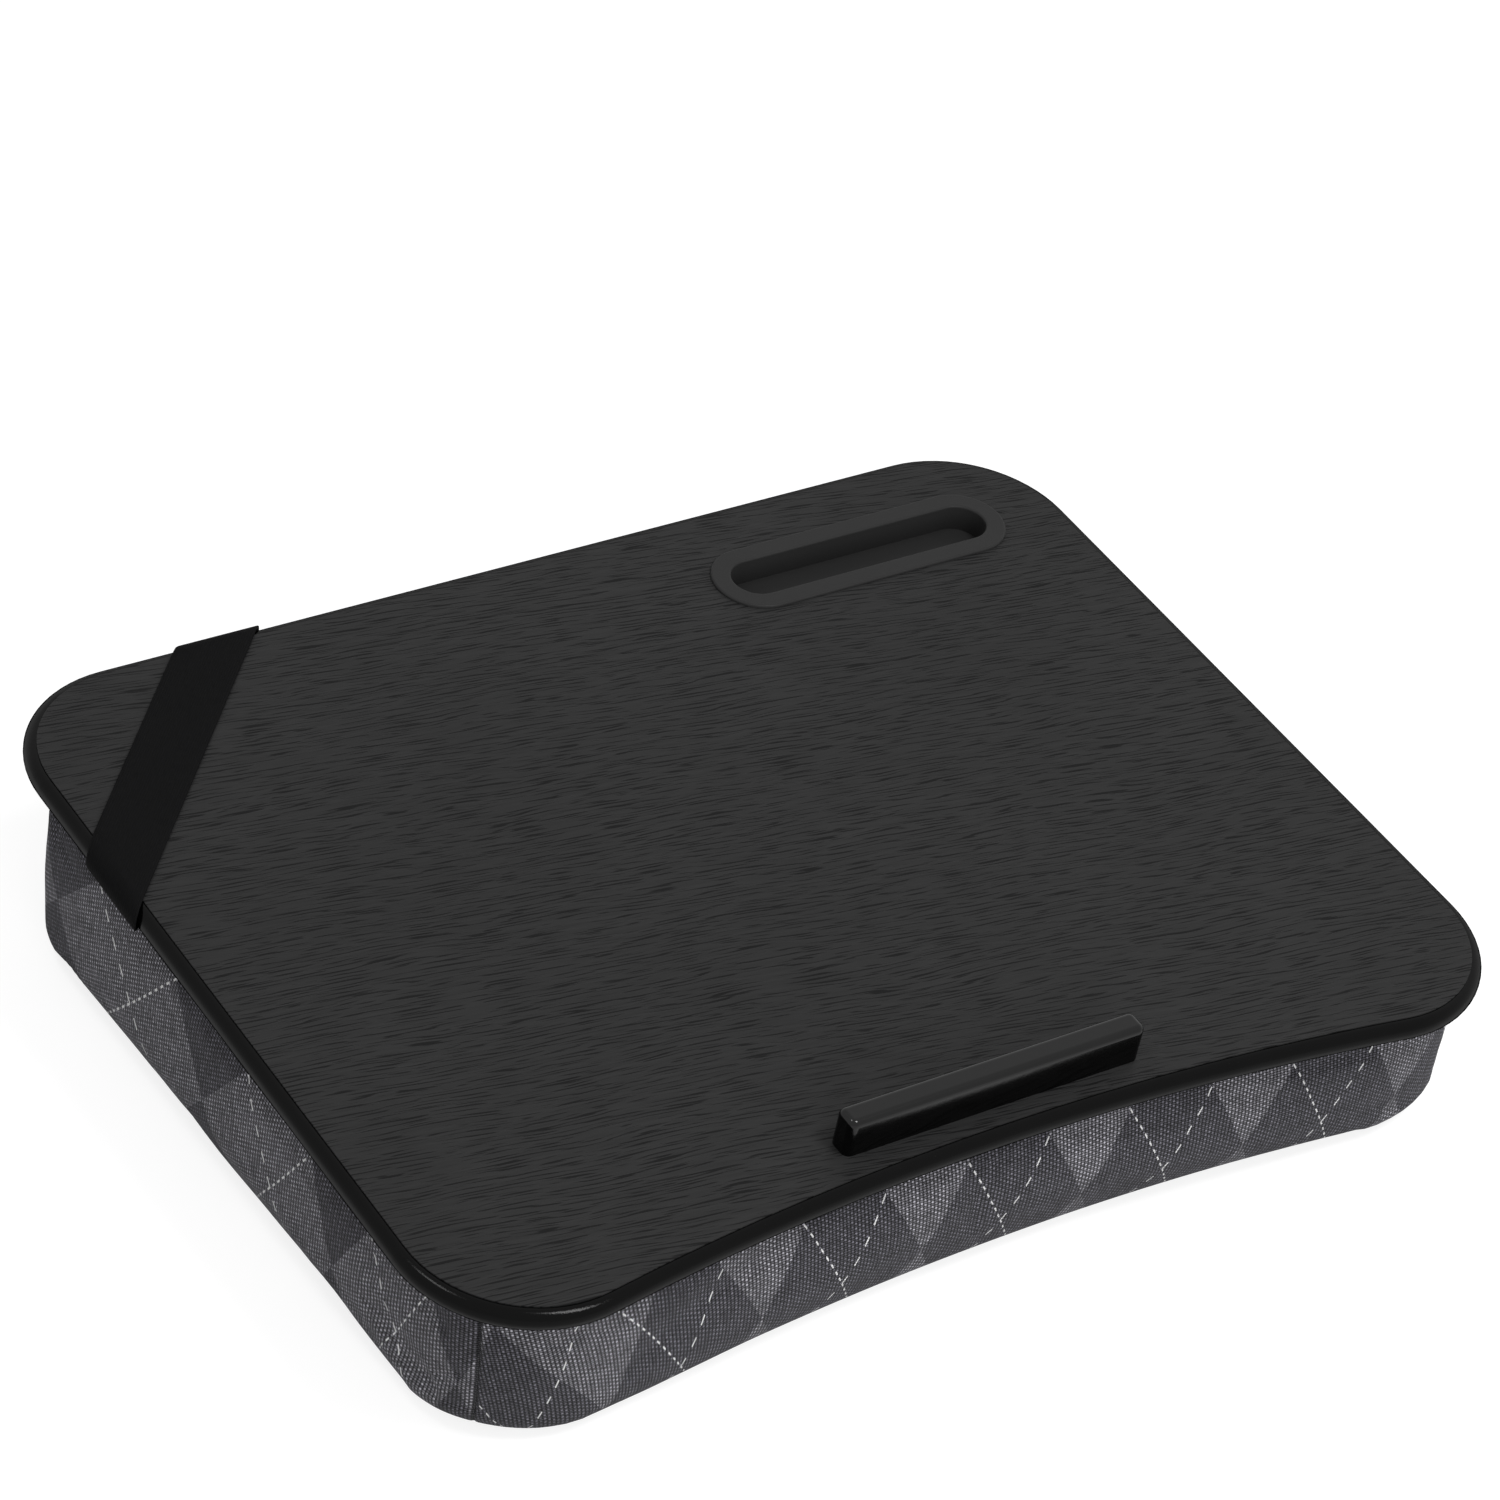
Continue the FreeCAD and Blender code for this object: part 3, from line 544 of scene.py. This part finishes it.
# %% Cushion mesh
BASE_SHARES = (0.97, 0.9, 0.78, 0.6, 0.35)
base_centre = rows[-1].mean(axis=0)
for share in BASE_SHARES:
    rows.append(base_centre + (rows[-1 - BASE_SHARES.index(share)] - base_centre) * share)
width = len(columns)
hem_centre = rows[0].mean(axis=0)
points = np.concatenate(rows + [base_centre[None, :], hem_centre[None, :]])
faces = []
for r in range(len(rows) - 1):
    for c in range(width):
        after = (c + 1) % width
        faces.append((r * width + c, (r + 1) * width + c, (r + 1) * width + after, r * width + after))
last = (len(rows) - 1) * width
faces += [(last + c, len(points) - 2, last + (c + 1) % width) for c in range(width)]
faces += [((c + 1) % width, len(points) - 1, c) for c in range(width)]
cushion_mesh = bpy.data.meshes.new("cushion")
cushion_mesh.from_pydata([tuple(p) for p in points], [], faces)
cushion_mesh.update()
cushion = bpy.data.objects.new("cushion", cushion_mesh)
scene.collection.objects.link(cushion)
print("cushion faces:", len(faces))

# %% [markdown]
# ## Flat coordinates of the cover
# The print's rows run a little above the base, level on the front and rising with the board on the sides.
# On the front and back the diamonds are 70 mm wide, and on the sides they grow wider towards the back. On
# the sides the light diamonds lie in the row that shows, so the print is moved by one diamond there, and
# it is cut mirrored.

# %% Coordinates for weave and print
DIAMOND_WIDE = 34.9 * MM
DIAMOND_HIGH = 65 * MM
FRONT_ROW = 21.5 * MM
SIDE_ROW = 30 * MM
SIDE_RISE = 0.045
FRONT_SHIFT = 3 * MM
SIDE_WIDE = 56.6 * MM
SIDE_SHRINK = 2.94 * MM
SIDE_SHIFT = 61 * MM
TURN_FROM = 95 * MM
TURN_OVER = 30 * MM
TURN_SLOPE = 0.3
TWIST = 0.25
TWIST_OVER = 80 * MM


def side_diamonds(along):
    """Diamonds counted from the back along a side wall, where they get narrower towards the front."""
    square = SIDE_WIDE ** 2 - 4 * SIDE_SHRINK * (SIDE_SHIFT + along)
    return (SIDE_WIDE - math.sqrt(max(square, 0))) / (2 * SIDE_SHRINK)


def turned_cloth(panel, along, above):
    """Place on the flat cloth of a point on a wall. The front's left end was sewn on with a slight turn."""
    past = -along - TURN_FROM
    if panel != "front" or past <= 0:
        return along, above
    drop = past ** 2 / (2 * TURN_OVER) if past < TURN_OVER else past - TURN_OVER / 2
    twist = TWIST * min(1.0, past / TWIST_OVER) ** 2
    return along + twist * (above - FRONT_ROW), above + TURN_SLOPE * drop


def print_place(panel, along, above):
    """Place in the print of a point that lies along a wall from its middle, and above the print's row."""
    if panel in ("front", "back"):
        return (along - FRONT_SHIFT) / DIAMOND_WIDE, above / DIAMOND_HIGH
    towards_front = along if panel == "left" else -along
    return -1 - side_diamonds(towards_front), above / DIAMOND_HIGH + 1


grid = np.array(rows)
wall_top = len(HEM)
wall_end = len(HEM) + WALL_ROWS + TURN_ROWS
steps = np.linalg.norm(np.diff(grid, axis=0), axis=2)
down = np.vstack([np.zeros(width), np.cumsum(steps, axis=0)])
down -= down[wall_top]
waist = grid[wall_top + WALL_ROWS // 2]


def row_depth(heights):
    """How far down each column's cloth the print's row lies, for its height above the base."""
    wall = slice(wall_top, wall_end + 1)
    return np.array([np.interp(-h, -grid[wall, c, 2], down[wall, c]) for c, h in enumerate(heights)])


front_rows, side_rows = row_depth(np.full(width, FRONT_ROW)), row_depth(SIDE_ROW + SIDE_RISE * waist[:, 1])
cloth_map = cushion_mesh.uv_layers.new(name="cloth")
print_map = cushion_mesh.uv_layers.new(name="argyle")
panel_of, along_of = [], []
start = 0
for panel, members in panels.items():
    count = len(members) - 1
    turned = np.roll(waist, -start, axis=0)[: count + 1]
    run = np.concatenate([[0], np.cumsum(np.linalg.norm(np.diff(turned, axis=0), axis=1))])
    panel_of += [panel] * count
    along_of += [(run[i] - run[-1] / 2, run[i + 1] - run[-1] / 2) for i in range(count)]
    start += count
base_row = wall_end + 1 + BESIDE_SEAM.index(0.0)
for face in cushion_mesh.polygons:
    row, column = divmod(face.index, width)
    for corner, loop in enumerate(face.loop_indices):
        vertex = cushion_mesh.loops[loop].vertex_index
        if row >= base_row:
            spot = points[vertex]
            cloth_map.data[loop].uv = (spot[0], spot[1])
            print_map.data[loop].uv = (spot[0] / DIAMOND_WIDE, spot[1] / DIAMOND_HIGH)
            continue
        r, c = divmod(vertex, width)
        panel = panel_of[column]
        level = front_rows[c] if panel in ("front", "back") else side_rows[c]
        spot = turned_cloth(panel, along_of[column][0 if c == column else 1], level - down[r, c])
        cloth_map.data[loop].uv = spot
        print_map.data[loop].uv = print_place(panel, *spot)
print("walls mapped:", ", ".join(panels))

# %% [markdown]
# ## Filling the cushion
# A stuffed cushion is not a smooth loft: the filling pushes the canvas out between its seams, and the
# thread of each corner seam draws the cloth in. A short cloth simulation with air pressure does this. The
# hem and the base are held, the cloth near the corner seams shrinks a little, and each point may move a
# few millimetres only, so the cushion keeps its place under the board.

# %% Cloth simulation
PRESSURE = 2.0
FRAMES = 18
MOST_MOVE = 3.5 * MM
held = cushion.vertex_groups.new(name="held")
tight = cushion.vertex_groups.new(name="tight")
held.add(list(range((wall_top + 1) * width)) + list(range(wall_end * width, len(points))), 1.0, "REPLACE")
seam_columns = np.cumsum([0] + [len(members) - 1 for members in panels.values()])[:4]


def seam_distance():
    """How far each column is from the nearest corner seam, along the waist."""
    run = np.concatenate([[0], np.cumsum(np.linalg.norm(np.diff(waist, axis=0), axis=1))])
    whole = run[-1] + np.linalg.norm(waist[0] - waist[-1])
    gaps = np.abs(run[:, None] - run[seam_columns][None, :])
    return np.minimum(gaps, whole - gaps).min(axis=1)


from_seam = seam_distance()
SEAM_PULL = 9 * MM
for c in range(width):
    pull = math.exp(-(from_seam[c] / SEAM_PULL) ** 2)
    tight.add([r * width + c for r in range(wall_top, wall_end)], pull, "REPLACE")


def fill_with_air(piece):
    """Runs the cloth simulation and returns the places of the points after it."""
    cloth = piece.modifiers.new("cloth", "CLOTH")
    settings = cloth.settings
    settings.quality = 6
    settings.mass = 0.3
    settings.tension_stiffness = 18
    settings.compression_stiffness = 18
    settings.shear_stiffness = 8
    settings.bending_stiffness = 0.6
    settings.use_pressure = True
    settings.uniform_pressure_force = PRESSURE
    settings.vertex_group_mass = held.name
    settings.vertex_group_shrink = tight.name
    settings.shrink_min = 0.0
    settings.shrink_max = 0.004
    settings.effector_weights.gravity = 0
    for number in range(1, FRAMES + 1):
        scene.frame_set(number)
    shape = piece.evaluated_get(bpy.context.evaluated_depsgraph_get()).data
    places = np.array([v.co for v in shape.vertices], float)
    piece.modifiers.remove(cloth)
    scene.frame_set(1)
    return places


moves = np.zeros_like(points)
moves = fill_with_air(cushion) - points
lengths = np.linalg.norm(moves, axis=1)
moves *= np.minimum(1, MOST_MOVE / np.maximum(lengths, MOST_MOVE / 100))[:, None]
print("largest move in millimetres:", round(float(lengths.max() / MM), 2))

# %% [markdown]
# ## Seams
# The four corner seams and the seam in the base are narrow grooves: the cloth turns in on both sides of
# the thread. They come after the simulation, as moves along the surface's own direction. A thin near-black
# line painted along each groove is painted shade of the fold.

# %% Seam grooves
SEAM_DEEP = 1.2 * MM
SEAM_WIDE = 0.8 * MM
PUCKER_DEEP = 0.3 * MM
PUCKER_LONG = 11 * MM
PUCKER_REACH = 10 * MM
placed = points + moves
outward = np.zeros((width, 3))
outward[:, :2] = normals
for r in range(wall_top, wall_end + 1):
    fade = min(1.0, (wall_end - r) / TURN_ROWS)
    groove = SEAM_DEEP * np.exp(-(from_seam / SEAM_WIDE) ** 2)
    wave = 0.5 + 0.5 * np.sin(2 * math.pi * down[r] / PUCKER_LONG)
    pucker = PUCKER_DEEP * wave * np.exp(-(from_seam / PUCKER_REACH) ** 2)
    placed[r * width:(r + 1) * width] -= outward * fade * (groove + pucker)[:, None]
placed[:, 2] = np.maximum(placed[:, 2], 0)
for r, step in enumerate(BESIDE_SEAM, wall_end + 1):
    placed[r * width:(r + 1) * width, 2] += SEAM_DEEP * math.exp(-(step / SEAM_WIDE) ** 2)
cushion_mesh.vertices.foreach_set("co", placed.ravel())
for face in cushion_mesh.polygons:
    face.use_smooth = True
cushion_mesh.update()
# Painted shadow: a thin near-black line is laid along each seam's groove for the shade in the fold, and
# this layer carries it.
SEAM_SHADOW_WIDE = 0.55 * MM
seam_shadow_layer = cushion_mesh.attributes.new("seam", "FLOAT", "POINT")
painted_seam_shadow = np.zeros(len(points))
for r in range(wall_top, wall_end + 1):
    painted_seam_shadow[r * width:(r + 1) * width] = np.exp(-(from_seam / SEAM_SHADOW_WIDE) ** 2)
for r, step in enumerate(BESIDE_SEAM, wall_end + 1):
    painted_seam_shadow[r * width:(r + 1) * width] = math.exp(-(step / SEAM_SHADOW_WIDE) ** 2)
seam_shadow_layer.data.foreach_set("value", painted_seam_shadow)
print("seams:", len(seam_columns))

# %% [markdown]
# ## Argyle print
# With u and v counted in half diamonds, (u + v) / 2 and (u - v) / 2 count the slanted stripes, and the
# two counts together say if a diamond is dark or light. Dashed white lines run through the middles of the
# stripes. One way the white thread shows in long stitches, and the other way in short ones.

# %% Argyle group
argyle, given, result = new_group("argyle", {"Place": "Vector"}, {"Dark": "Float", "Dash": "Float"})
place = put(argyle, "ShaderNodeSeparateXYZ", {0: given["Place"]}).outputs
LONG_DASHES = 9.0
SHORT_DASHES = 16.0
DASH_SHARE = 0.45
LINE_HALF = 0.005


def stripe(sign):
    """Count of the slanted stripes one way."""
    other = work_out(argyle, "MULTIPLY", place[1], sign)
    return work_out(argyle, "MULTIPLY", work_out(argyle, "ADD", place[0], other), 0.5)


def dashed(across, along, dashes):
    """Dashes along the middle of a stripe."""
    middle = work_out(argyle, "SUBTRACT", across, work_out(argyle, "ROUND", across))
    on_line = work_out(argyle, "LESS_THAN", work_out(argyle, "ABSOLUTE", middle), LINE_HALF)
    beat = work_out(argyle, "FRACT", work_out(argyle, "MULTIPLY", along, dashes))
    return work_out(argyle, "MULTIPLY", on_line, work_out(argyle, "LESS_THAN", beat, DASH_SHARE))


rising, falling = stripe(1.0), stripe(-1.0)
number = work_out(argyle, "ADD", work_out(argyle, "ROUND", rising), work_out(argyle, "ROUND", falling))
odd = work_out(argyle, "ABSOLUTE", work_out(argyle, "MODULO", number, 2.0))
argyle.links.new(work_out(argyle, "LESS_THAN", odd, 0.5), result["Dark"])
short, long = dashed(rising, falling, SHORT_DASHES), dashed(falling, rising, LONG_DASHES)
argyle.links.new(work_out(argyle, "MAXIMUM", short, long), result["Dash"])
print("group", argyle.name)

# %% [markdown]
# ## Canvas
# The cover is a coarse heathered canvas. The print colours it, the yarns vary it, and the weave gives the
# bump. The hollows between the yarns are painted darker and their crowns lighter, as painted shade and
# light, and each seam gets a painted dark line for the shade of its fold.

# %% Canvas
CANVAS_ACROSS = 1.55 * MM
CANVAS_ALONG = 0.98 * MM
CANVAS_DEEP = 0.5 * MM


def canvas():
    material, tree, shader = new_finish(
        "argyle_canvas", Specular_IOR_Level=0.15, Sheen_Weight=0.08, Sheen_Roughness=0.5, Roughness=0.9
    )
    cloth = put(tree, "ShaderNodeUVMap", uv_map="cloth").outputs[0]
    pattern = use(tree, argyle, Place=put(tree, "ShaderNodeUVMap", uv_map="argyle").outputs[0])
    yarns = use(tree, weave, Place=cloth, Across=CANVAS_ACROSS, Along=CANVAS_ALONG)
    tone = between(tree, pattern["Dark"], (0.158, 0.1545, 0.172, 1), (0.064, 0.0622, 0.0735, 1))
    heather = rescale(tree, yarns["Heather"], 0.3, 0.7, 0.6, 1.4)
    # Painted shade and light: the weave's height darkens the hollows between the yarns and lightens their
    # crowns.
    gaps = rescale(tree, yarns["Height"], 0.3, 0.95, 0.1, 1.7)
    checks = rescale(tree, yarns["Warp"], 0.0, 1.0, 0.6, 1.4)
    shade = use(tree, mottle, Scale=14.0, Spread=0.18)["Value"]
    factor = work_out(tree, "MULTIPLY", work_out(tree, "MULTIPLY", heather, gaps), shade)
    factor = work_out(tree, "MULTIPLY", factor, checks)
    colour = put(tree, "ShaderNodeVectorMath", {0: tone, 3: factor}, operation="SCALE").outputs[0]
    colour = between(tree, work_out(tree, "MULTIPLY", pattern["Dash"], 0.9), colour, (0.8, 0.8, 0.8, 1))
    # The seam layer paints a near-black line along each seam, as painted shade of the fold.
    seam = put(tree, "ShaderNodeAttribute", attribute_name="seam").outputs["Fac"]
    colour = between(tree, seam, colour, (0.002, 0.002, 0.002, 1))
    tree.links.new(colour, shader.inputs["Base Color"])
    raise_surface(tree, shader, yarns["Height"], CANVAS_DEEP)
    return material


cushion_mesh.materials.append(canvas())
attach(cushion, "tray")
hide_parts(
    "cover_front_panel", "cover_right_panel", "cover_back_panel", "cover_left_panel",
    "cover_bottom_panel", "cover_top_liner", "cushion_fill",
)
print("cushion rides on the tray")

# %% [markdown]
# ## The strap
# The strap is a flat elastic band. It comes out from under the board, turns round the left edge, crosses
# the deck and turns round the back edge. It has four pieces. The two round the edges stay on the tray,
# and the two over the deck meet in the middle.

# %% Strap mesh
STRAP_WIDE = 25.4 * MM
STRAP_THICK = 1.2 * MM
STRAP_GAP = 0.3 * MM
DECK = 9.0 * MM
EDGE_ROUND = 4.1 * MM
TAIL = 33 * MM
DOWN_LEFT = 106 * MM
ALONG_BACK = 98.5 * MM
STRAP_HOLD = 22 * MM
TAIL_ROWS = 6
EDGE_ROWS = 8
HELD_ROWS = 4
FREE_ROWS = 22
BAND_ROWS = 14
EDGE_LEFT = np.array([-BOARD_WIDTH / 2, BOARD_DEPTH / 2 - DOWN_LEFT])
EDGE_BACK = np.array([ALONG_BACK - BOARD_WIDTH / 2, BOARD_DEPTH / 2])
strap_run = EDGE_BACK - EDGE_LEFT
strap_long = float(np.linalg.norm(strap_run))
strap_run /= strap_long
strap_side = np.array([-strap_run[1], strap_run[0]])


def edge_profile(grow):
    """Distance in from the edge, and height, of points round the edge from underneath to the deck."""
    radius = EDGE_ROUND + grow
    low, high = -FILM + EDGE_ROUND, DECK - EDGE_ROUND
    tail = [(inset, low - radius) for inset in np.linspace(TAIL, EDGE_ROUND, TAIL_ROWS + 1)[:-1]]
    turns = np.linspace(0, math.pi / 2, EDGE_ROWS + 1)
    under = [(EDGE_ROUND - radius * math.sin(turn), low - radius * math.cos(turn)) for turn in turns]
    over = [(EDGE_ROUND - radius * math.cos(turn), high + radius * math.sin(turn)) for turn in turns]
    return tail + under + over


def band_section():
    """Points round the band's own section: sideways from its middle, and up from the deck."""
    thick = STRAP_THICK / 2
    flat, centre = STRAP_WIDE / 2 - thick, STRAP_GAP + thick
    spots = np.linspace(-flat, flat, BAND_ROWS + 1)
    turns = (0.8, math.pi / 2, 2.3)
    top = [(-spot, centre + thick) for spot in spots]
    right = [(-flat - thick * math.sin(turn), centre + thick * math.cos(turn)) for turn in turns]
    bottom = [(spot, centre - thick) for spot in spots]
    left = [(flat + thick * math.sin(turn), centre - thick * math.cos(turn)) for turn in turns]
    return top + right + bottom + left


def to_tray(point):
    """A point of the board's own frame in the frame of the tray."""
    x, y, z = point
    c, s = math.cos(LEAN), math.sin(LEAN)
    return np.array([x, y * c - z * s, y * s + z * c]) + SEAT


def strap_rings(edge, inward, run):
    """Rings of half of the strap, from its tail under one edge to the middle of the deck."""
    slant = float(run @ inward)
    lines = []
    for sideways, grow in section:
        base = edge + strap_side * sideways
        skew = float((base - edge) @ inward)
        line = [(*(base + run * (inset - skew) / slant), height) for inset, height in edge_profile(grow)]
        kept = np.linspace((EDGE_ROUND - skew) / slant, STRAP_HOLD, HELD_ROWS + 1)[1:]
        free = np.linspace(STRAP_HOLD, strap_long / 2, FREE_ROWS + 1)[1:]
        line += [(*(base + run * far), DECK + grow) for far in (*kept, *free)]
        lines.append([to_tray(point) for point in line])
    return np.array(lines).transpose(1, 0, 2)


def strap_piece(name, rings, travel):
    """A tube through rings of points. The travel is each ring's place along the band."""
    around = len(section)
    faces = []
    for ring_number in range(len(rings) - 1):
        for spot in range(around):
            near, far = ring_number * around, (ring_number + 1) * around
            after = (spot + 1) % around
            faces.append((near + spot, near + after, far + after, far + spot))
    mesh = bpy.data.meshes.new(name)
    mesh.from_pydata([tuple(point) for point in rings.reshape(-1, 3)], [], faces)
    flat = mesh.uv_layers.new(name="cloth")
    for loop in mesh.loops:
        ring_number, spot = divmod(loop.vertex_index, around)
        flat.data[loop.index].uv = (section[spot][0], travel[ring_number])
    for face in mesh.polygons:
        face.use_smooth = True
    piece = bpy.data.objects.new(name, mesh)
    scene.collection.objects.link(piece)
    return piece


def strap_half(side, edge, inward, run):
    """The piece round one edge, and the piece from there to the middle of the deck."""
    rings = strap_rings(edge, inward, run)
    steps = np.linalg.norm(np.diff(rings[:, len(section) // 2], axis=0), axis=1)
    travel = np.concatenate([[0], np.cumsum(steps)])
    split = len(rings) - FREE_ROWS
    wrap = strap_piece(f"strap_{side}_wrap", rings[:split], travel[:split])
    return wrap, strap_piece(f"strap_{side}_half", rings[split - 1:], travel[split - 1:])


section = band_section()
left_wrap, left_half = strap_half("left", EDGE_LEFT, np.array([1.0, 0.0]), strap_run)
back_wrap, back_half = strap_half("back", EDGE_BACK, np.array([0.0, -1.0]), -strap_run)
print("strap pieces:", left_wrap.name, left_half.name, back_half.name, back_wrap.name)

# %% [markdown]
# ## Elastic
# Woven elastic is matt and has fine cross ribs, where its rubber threads gather the yarn. The hollows
# between the ribs are painted darker, as painted shade.

# %% Strap finish
RIB_ACROSS = 0.9 * MM
RIB_ALONG = 0.6 * MM
RIB_DEEP = 0.2 * MM


def elastic():
    material, tree, shader = new_finish("woven_elastic", Specular_IOR_Level=0.04, Roughness=0.9)
    cloth = put(tree, "ShaderNodeUVMap", uv_map="cloth").outputs[0]
    yarns = use(tree, weave, Place=cloth, Across=RIB_ACROSS, Along=RIB_ALONG)
    heather = rescale(tree, yarns["Heather"], 0.3, 0.7, 0.8, 1.2)
    # Painted shade: the weave's height darkens the hollows between the ribs.
    gaps = rescale(tree, yarns["Height"], 0.1, 0.7, 0.6, 1.1)
    shade = use(tree, mottle, Scale=40.0, Spread=0.3)["Value"]
    factor = work_out(tree, "MULTIPLY", work_out(tree, "MULTIPLY", heather, gaps), shade)
    ground = between(tree, factor, (0.001, 0.001, 0.001, 1), (0.0052, 0.0052, 0.0054, 1))
    tree.links.new(ground, shader.inputs["Base Color"])
    raise_surface(tree, shader, yarns["Height"], RIB_DEEP, 0.6)
    return material


strap_finish = elastic()
for wrap, half, edge, way, node in (
    (left_wrap, left_half, EDGE_LEFT, strap_run, "strap_left_end"),
    (back_wrap, back_half, EDGE_BACK, -strap_run, "strap_back_end"),
):
    for piece in (wrap, half):
        piece.data.materials.append(strap_finish)
    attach(wrap, "tray")
    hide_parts(node)
    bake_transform(half)
    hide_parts("strap_middle")

# %% [markdown]
# ## Stage and light
# A pale floor and a white surround, as in a catalogue picture. Two soft lamps overhead, one to the left,
# give the corner of the board's edge its two highlights. A broad lamp in front lights the walls, and a
# weak one from the right opens the shadows. The world is white to the camera and to reflections, and a
# soft grey light to everything else.

# %% Stage and light
FLOOR_SIZE = 8.0
FLOOR_BELOW = 0.3 * MM
floor_mesh = bpy.data.meshes.new("floor")
reach = FLOOR_SIZE / 2
floor_corners = [(-reach, -reach, 0), (reach, -reach, 0), (reach, reach, 0), (-reach, reach, 0)]
floor_mesh.from_pydata(floor_corners, [], [(0, 1, 2, 3)])
floor = bpy.data.objects.new("floor", floor_mesh)
floor.location.z = -FLOOR_BELOW
scene.collection.objects.link(floor)


def seen_rays(tree):
    """1 for rays of the camera, of reflections and of glass."""
    light_path = put(tree, "ShaderNodeLightPath").outputs
    glossy = work_out(tree, "MAXIMUM", light_path["Is Camera Ray"], light_path["Is Glossy Ray"])
    return work_out(tree, "MAXIMUM", glossy, light_path["Is Transmission Ray"])


FLOOR_COLOUR = (0.32, 0.32, 0.32, 1)
FLOOR_GLOW = 0.79
floor_finish, floor_tree, floor_shader = new_finish(
    "pale_floor", Base_Color=FLOOR_COLOUR, Specular_IOR_Level=0.0
)
strength = work_out(floor_tree, "MULTIPLY", seen_rays(floor_tree), FLOOR_GLOW)
glow = put(floor_tree, "ShaderNodeEmission", {"Strength": strength})
both = put(floor_tree, "ShaderNodeAddShader", {0: floor_shader.outputs[0], 1: glow.outputs[0]})
floor_tree.links.new(both.outputs[0], floor_tree.nodes["Material Output"].inputs["Surface"])
floor_mesh.materials.append(floor_finish)

world = bpy.data.worlds.new("studio")
scene.world = world
world.use_nodes = True
background = world.node_tree.nodes["Background"]
AMBIENT = 0.48
strength = rescale(world.node_tree, seen_rays(world.node_tree), 0.0, 1.0, AMBIENT, 1.0)
world.node_tree.links.new(strength, background.inputs["Strength"])
background.inputs["Color"].default_value = (1, 1, 1, 1)
LIT_PLACE = Vector((0, 0, 0.05))


def soft_lamp(name, place, size, power, mirrored=False):
    """A rectangular lamp that faces the tray. Only a mirrored one shows in gloss."""
    data = bpy.data.lights.new(name, "AREA")
    data.shape = "RECTANGLE"
    data.size, data.size_y = size
    data.energy = power
    lamp = bpy.data.objects.new(name, data)
    lamp.location = place
    lamp.rotation_euler = (LIT_PLACE - Vector(place)).to_track_quat("-Z", "Y").to_euler()
    lamp.visible_glossy = mirrored
    scene.collection.objects.link(lamp)


soft_lamp("overhead", (0.4, -0.85, 1.85), (0.5, 0.7), 23, mirrored=True)
soft_lamp("left", (-0.8, 0.3, 1.85), (0.55, 0.3), 6, mirrored=True)
soft_lamp("front", (-0.8, -2.2, 0.9), (1.2, 1.2), 27)
soft_lamp("right", (1.8, -2.0, 0.9), (1.2, 1.2), 10)
scene.view_settings.view_transform = "Standard"
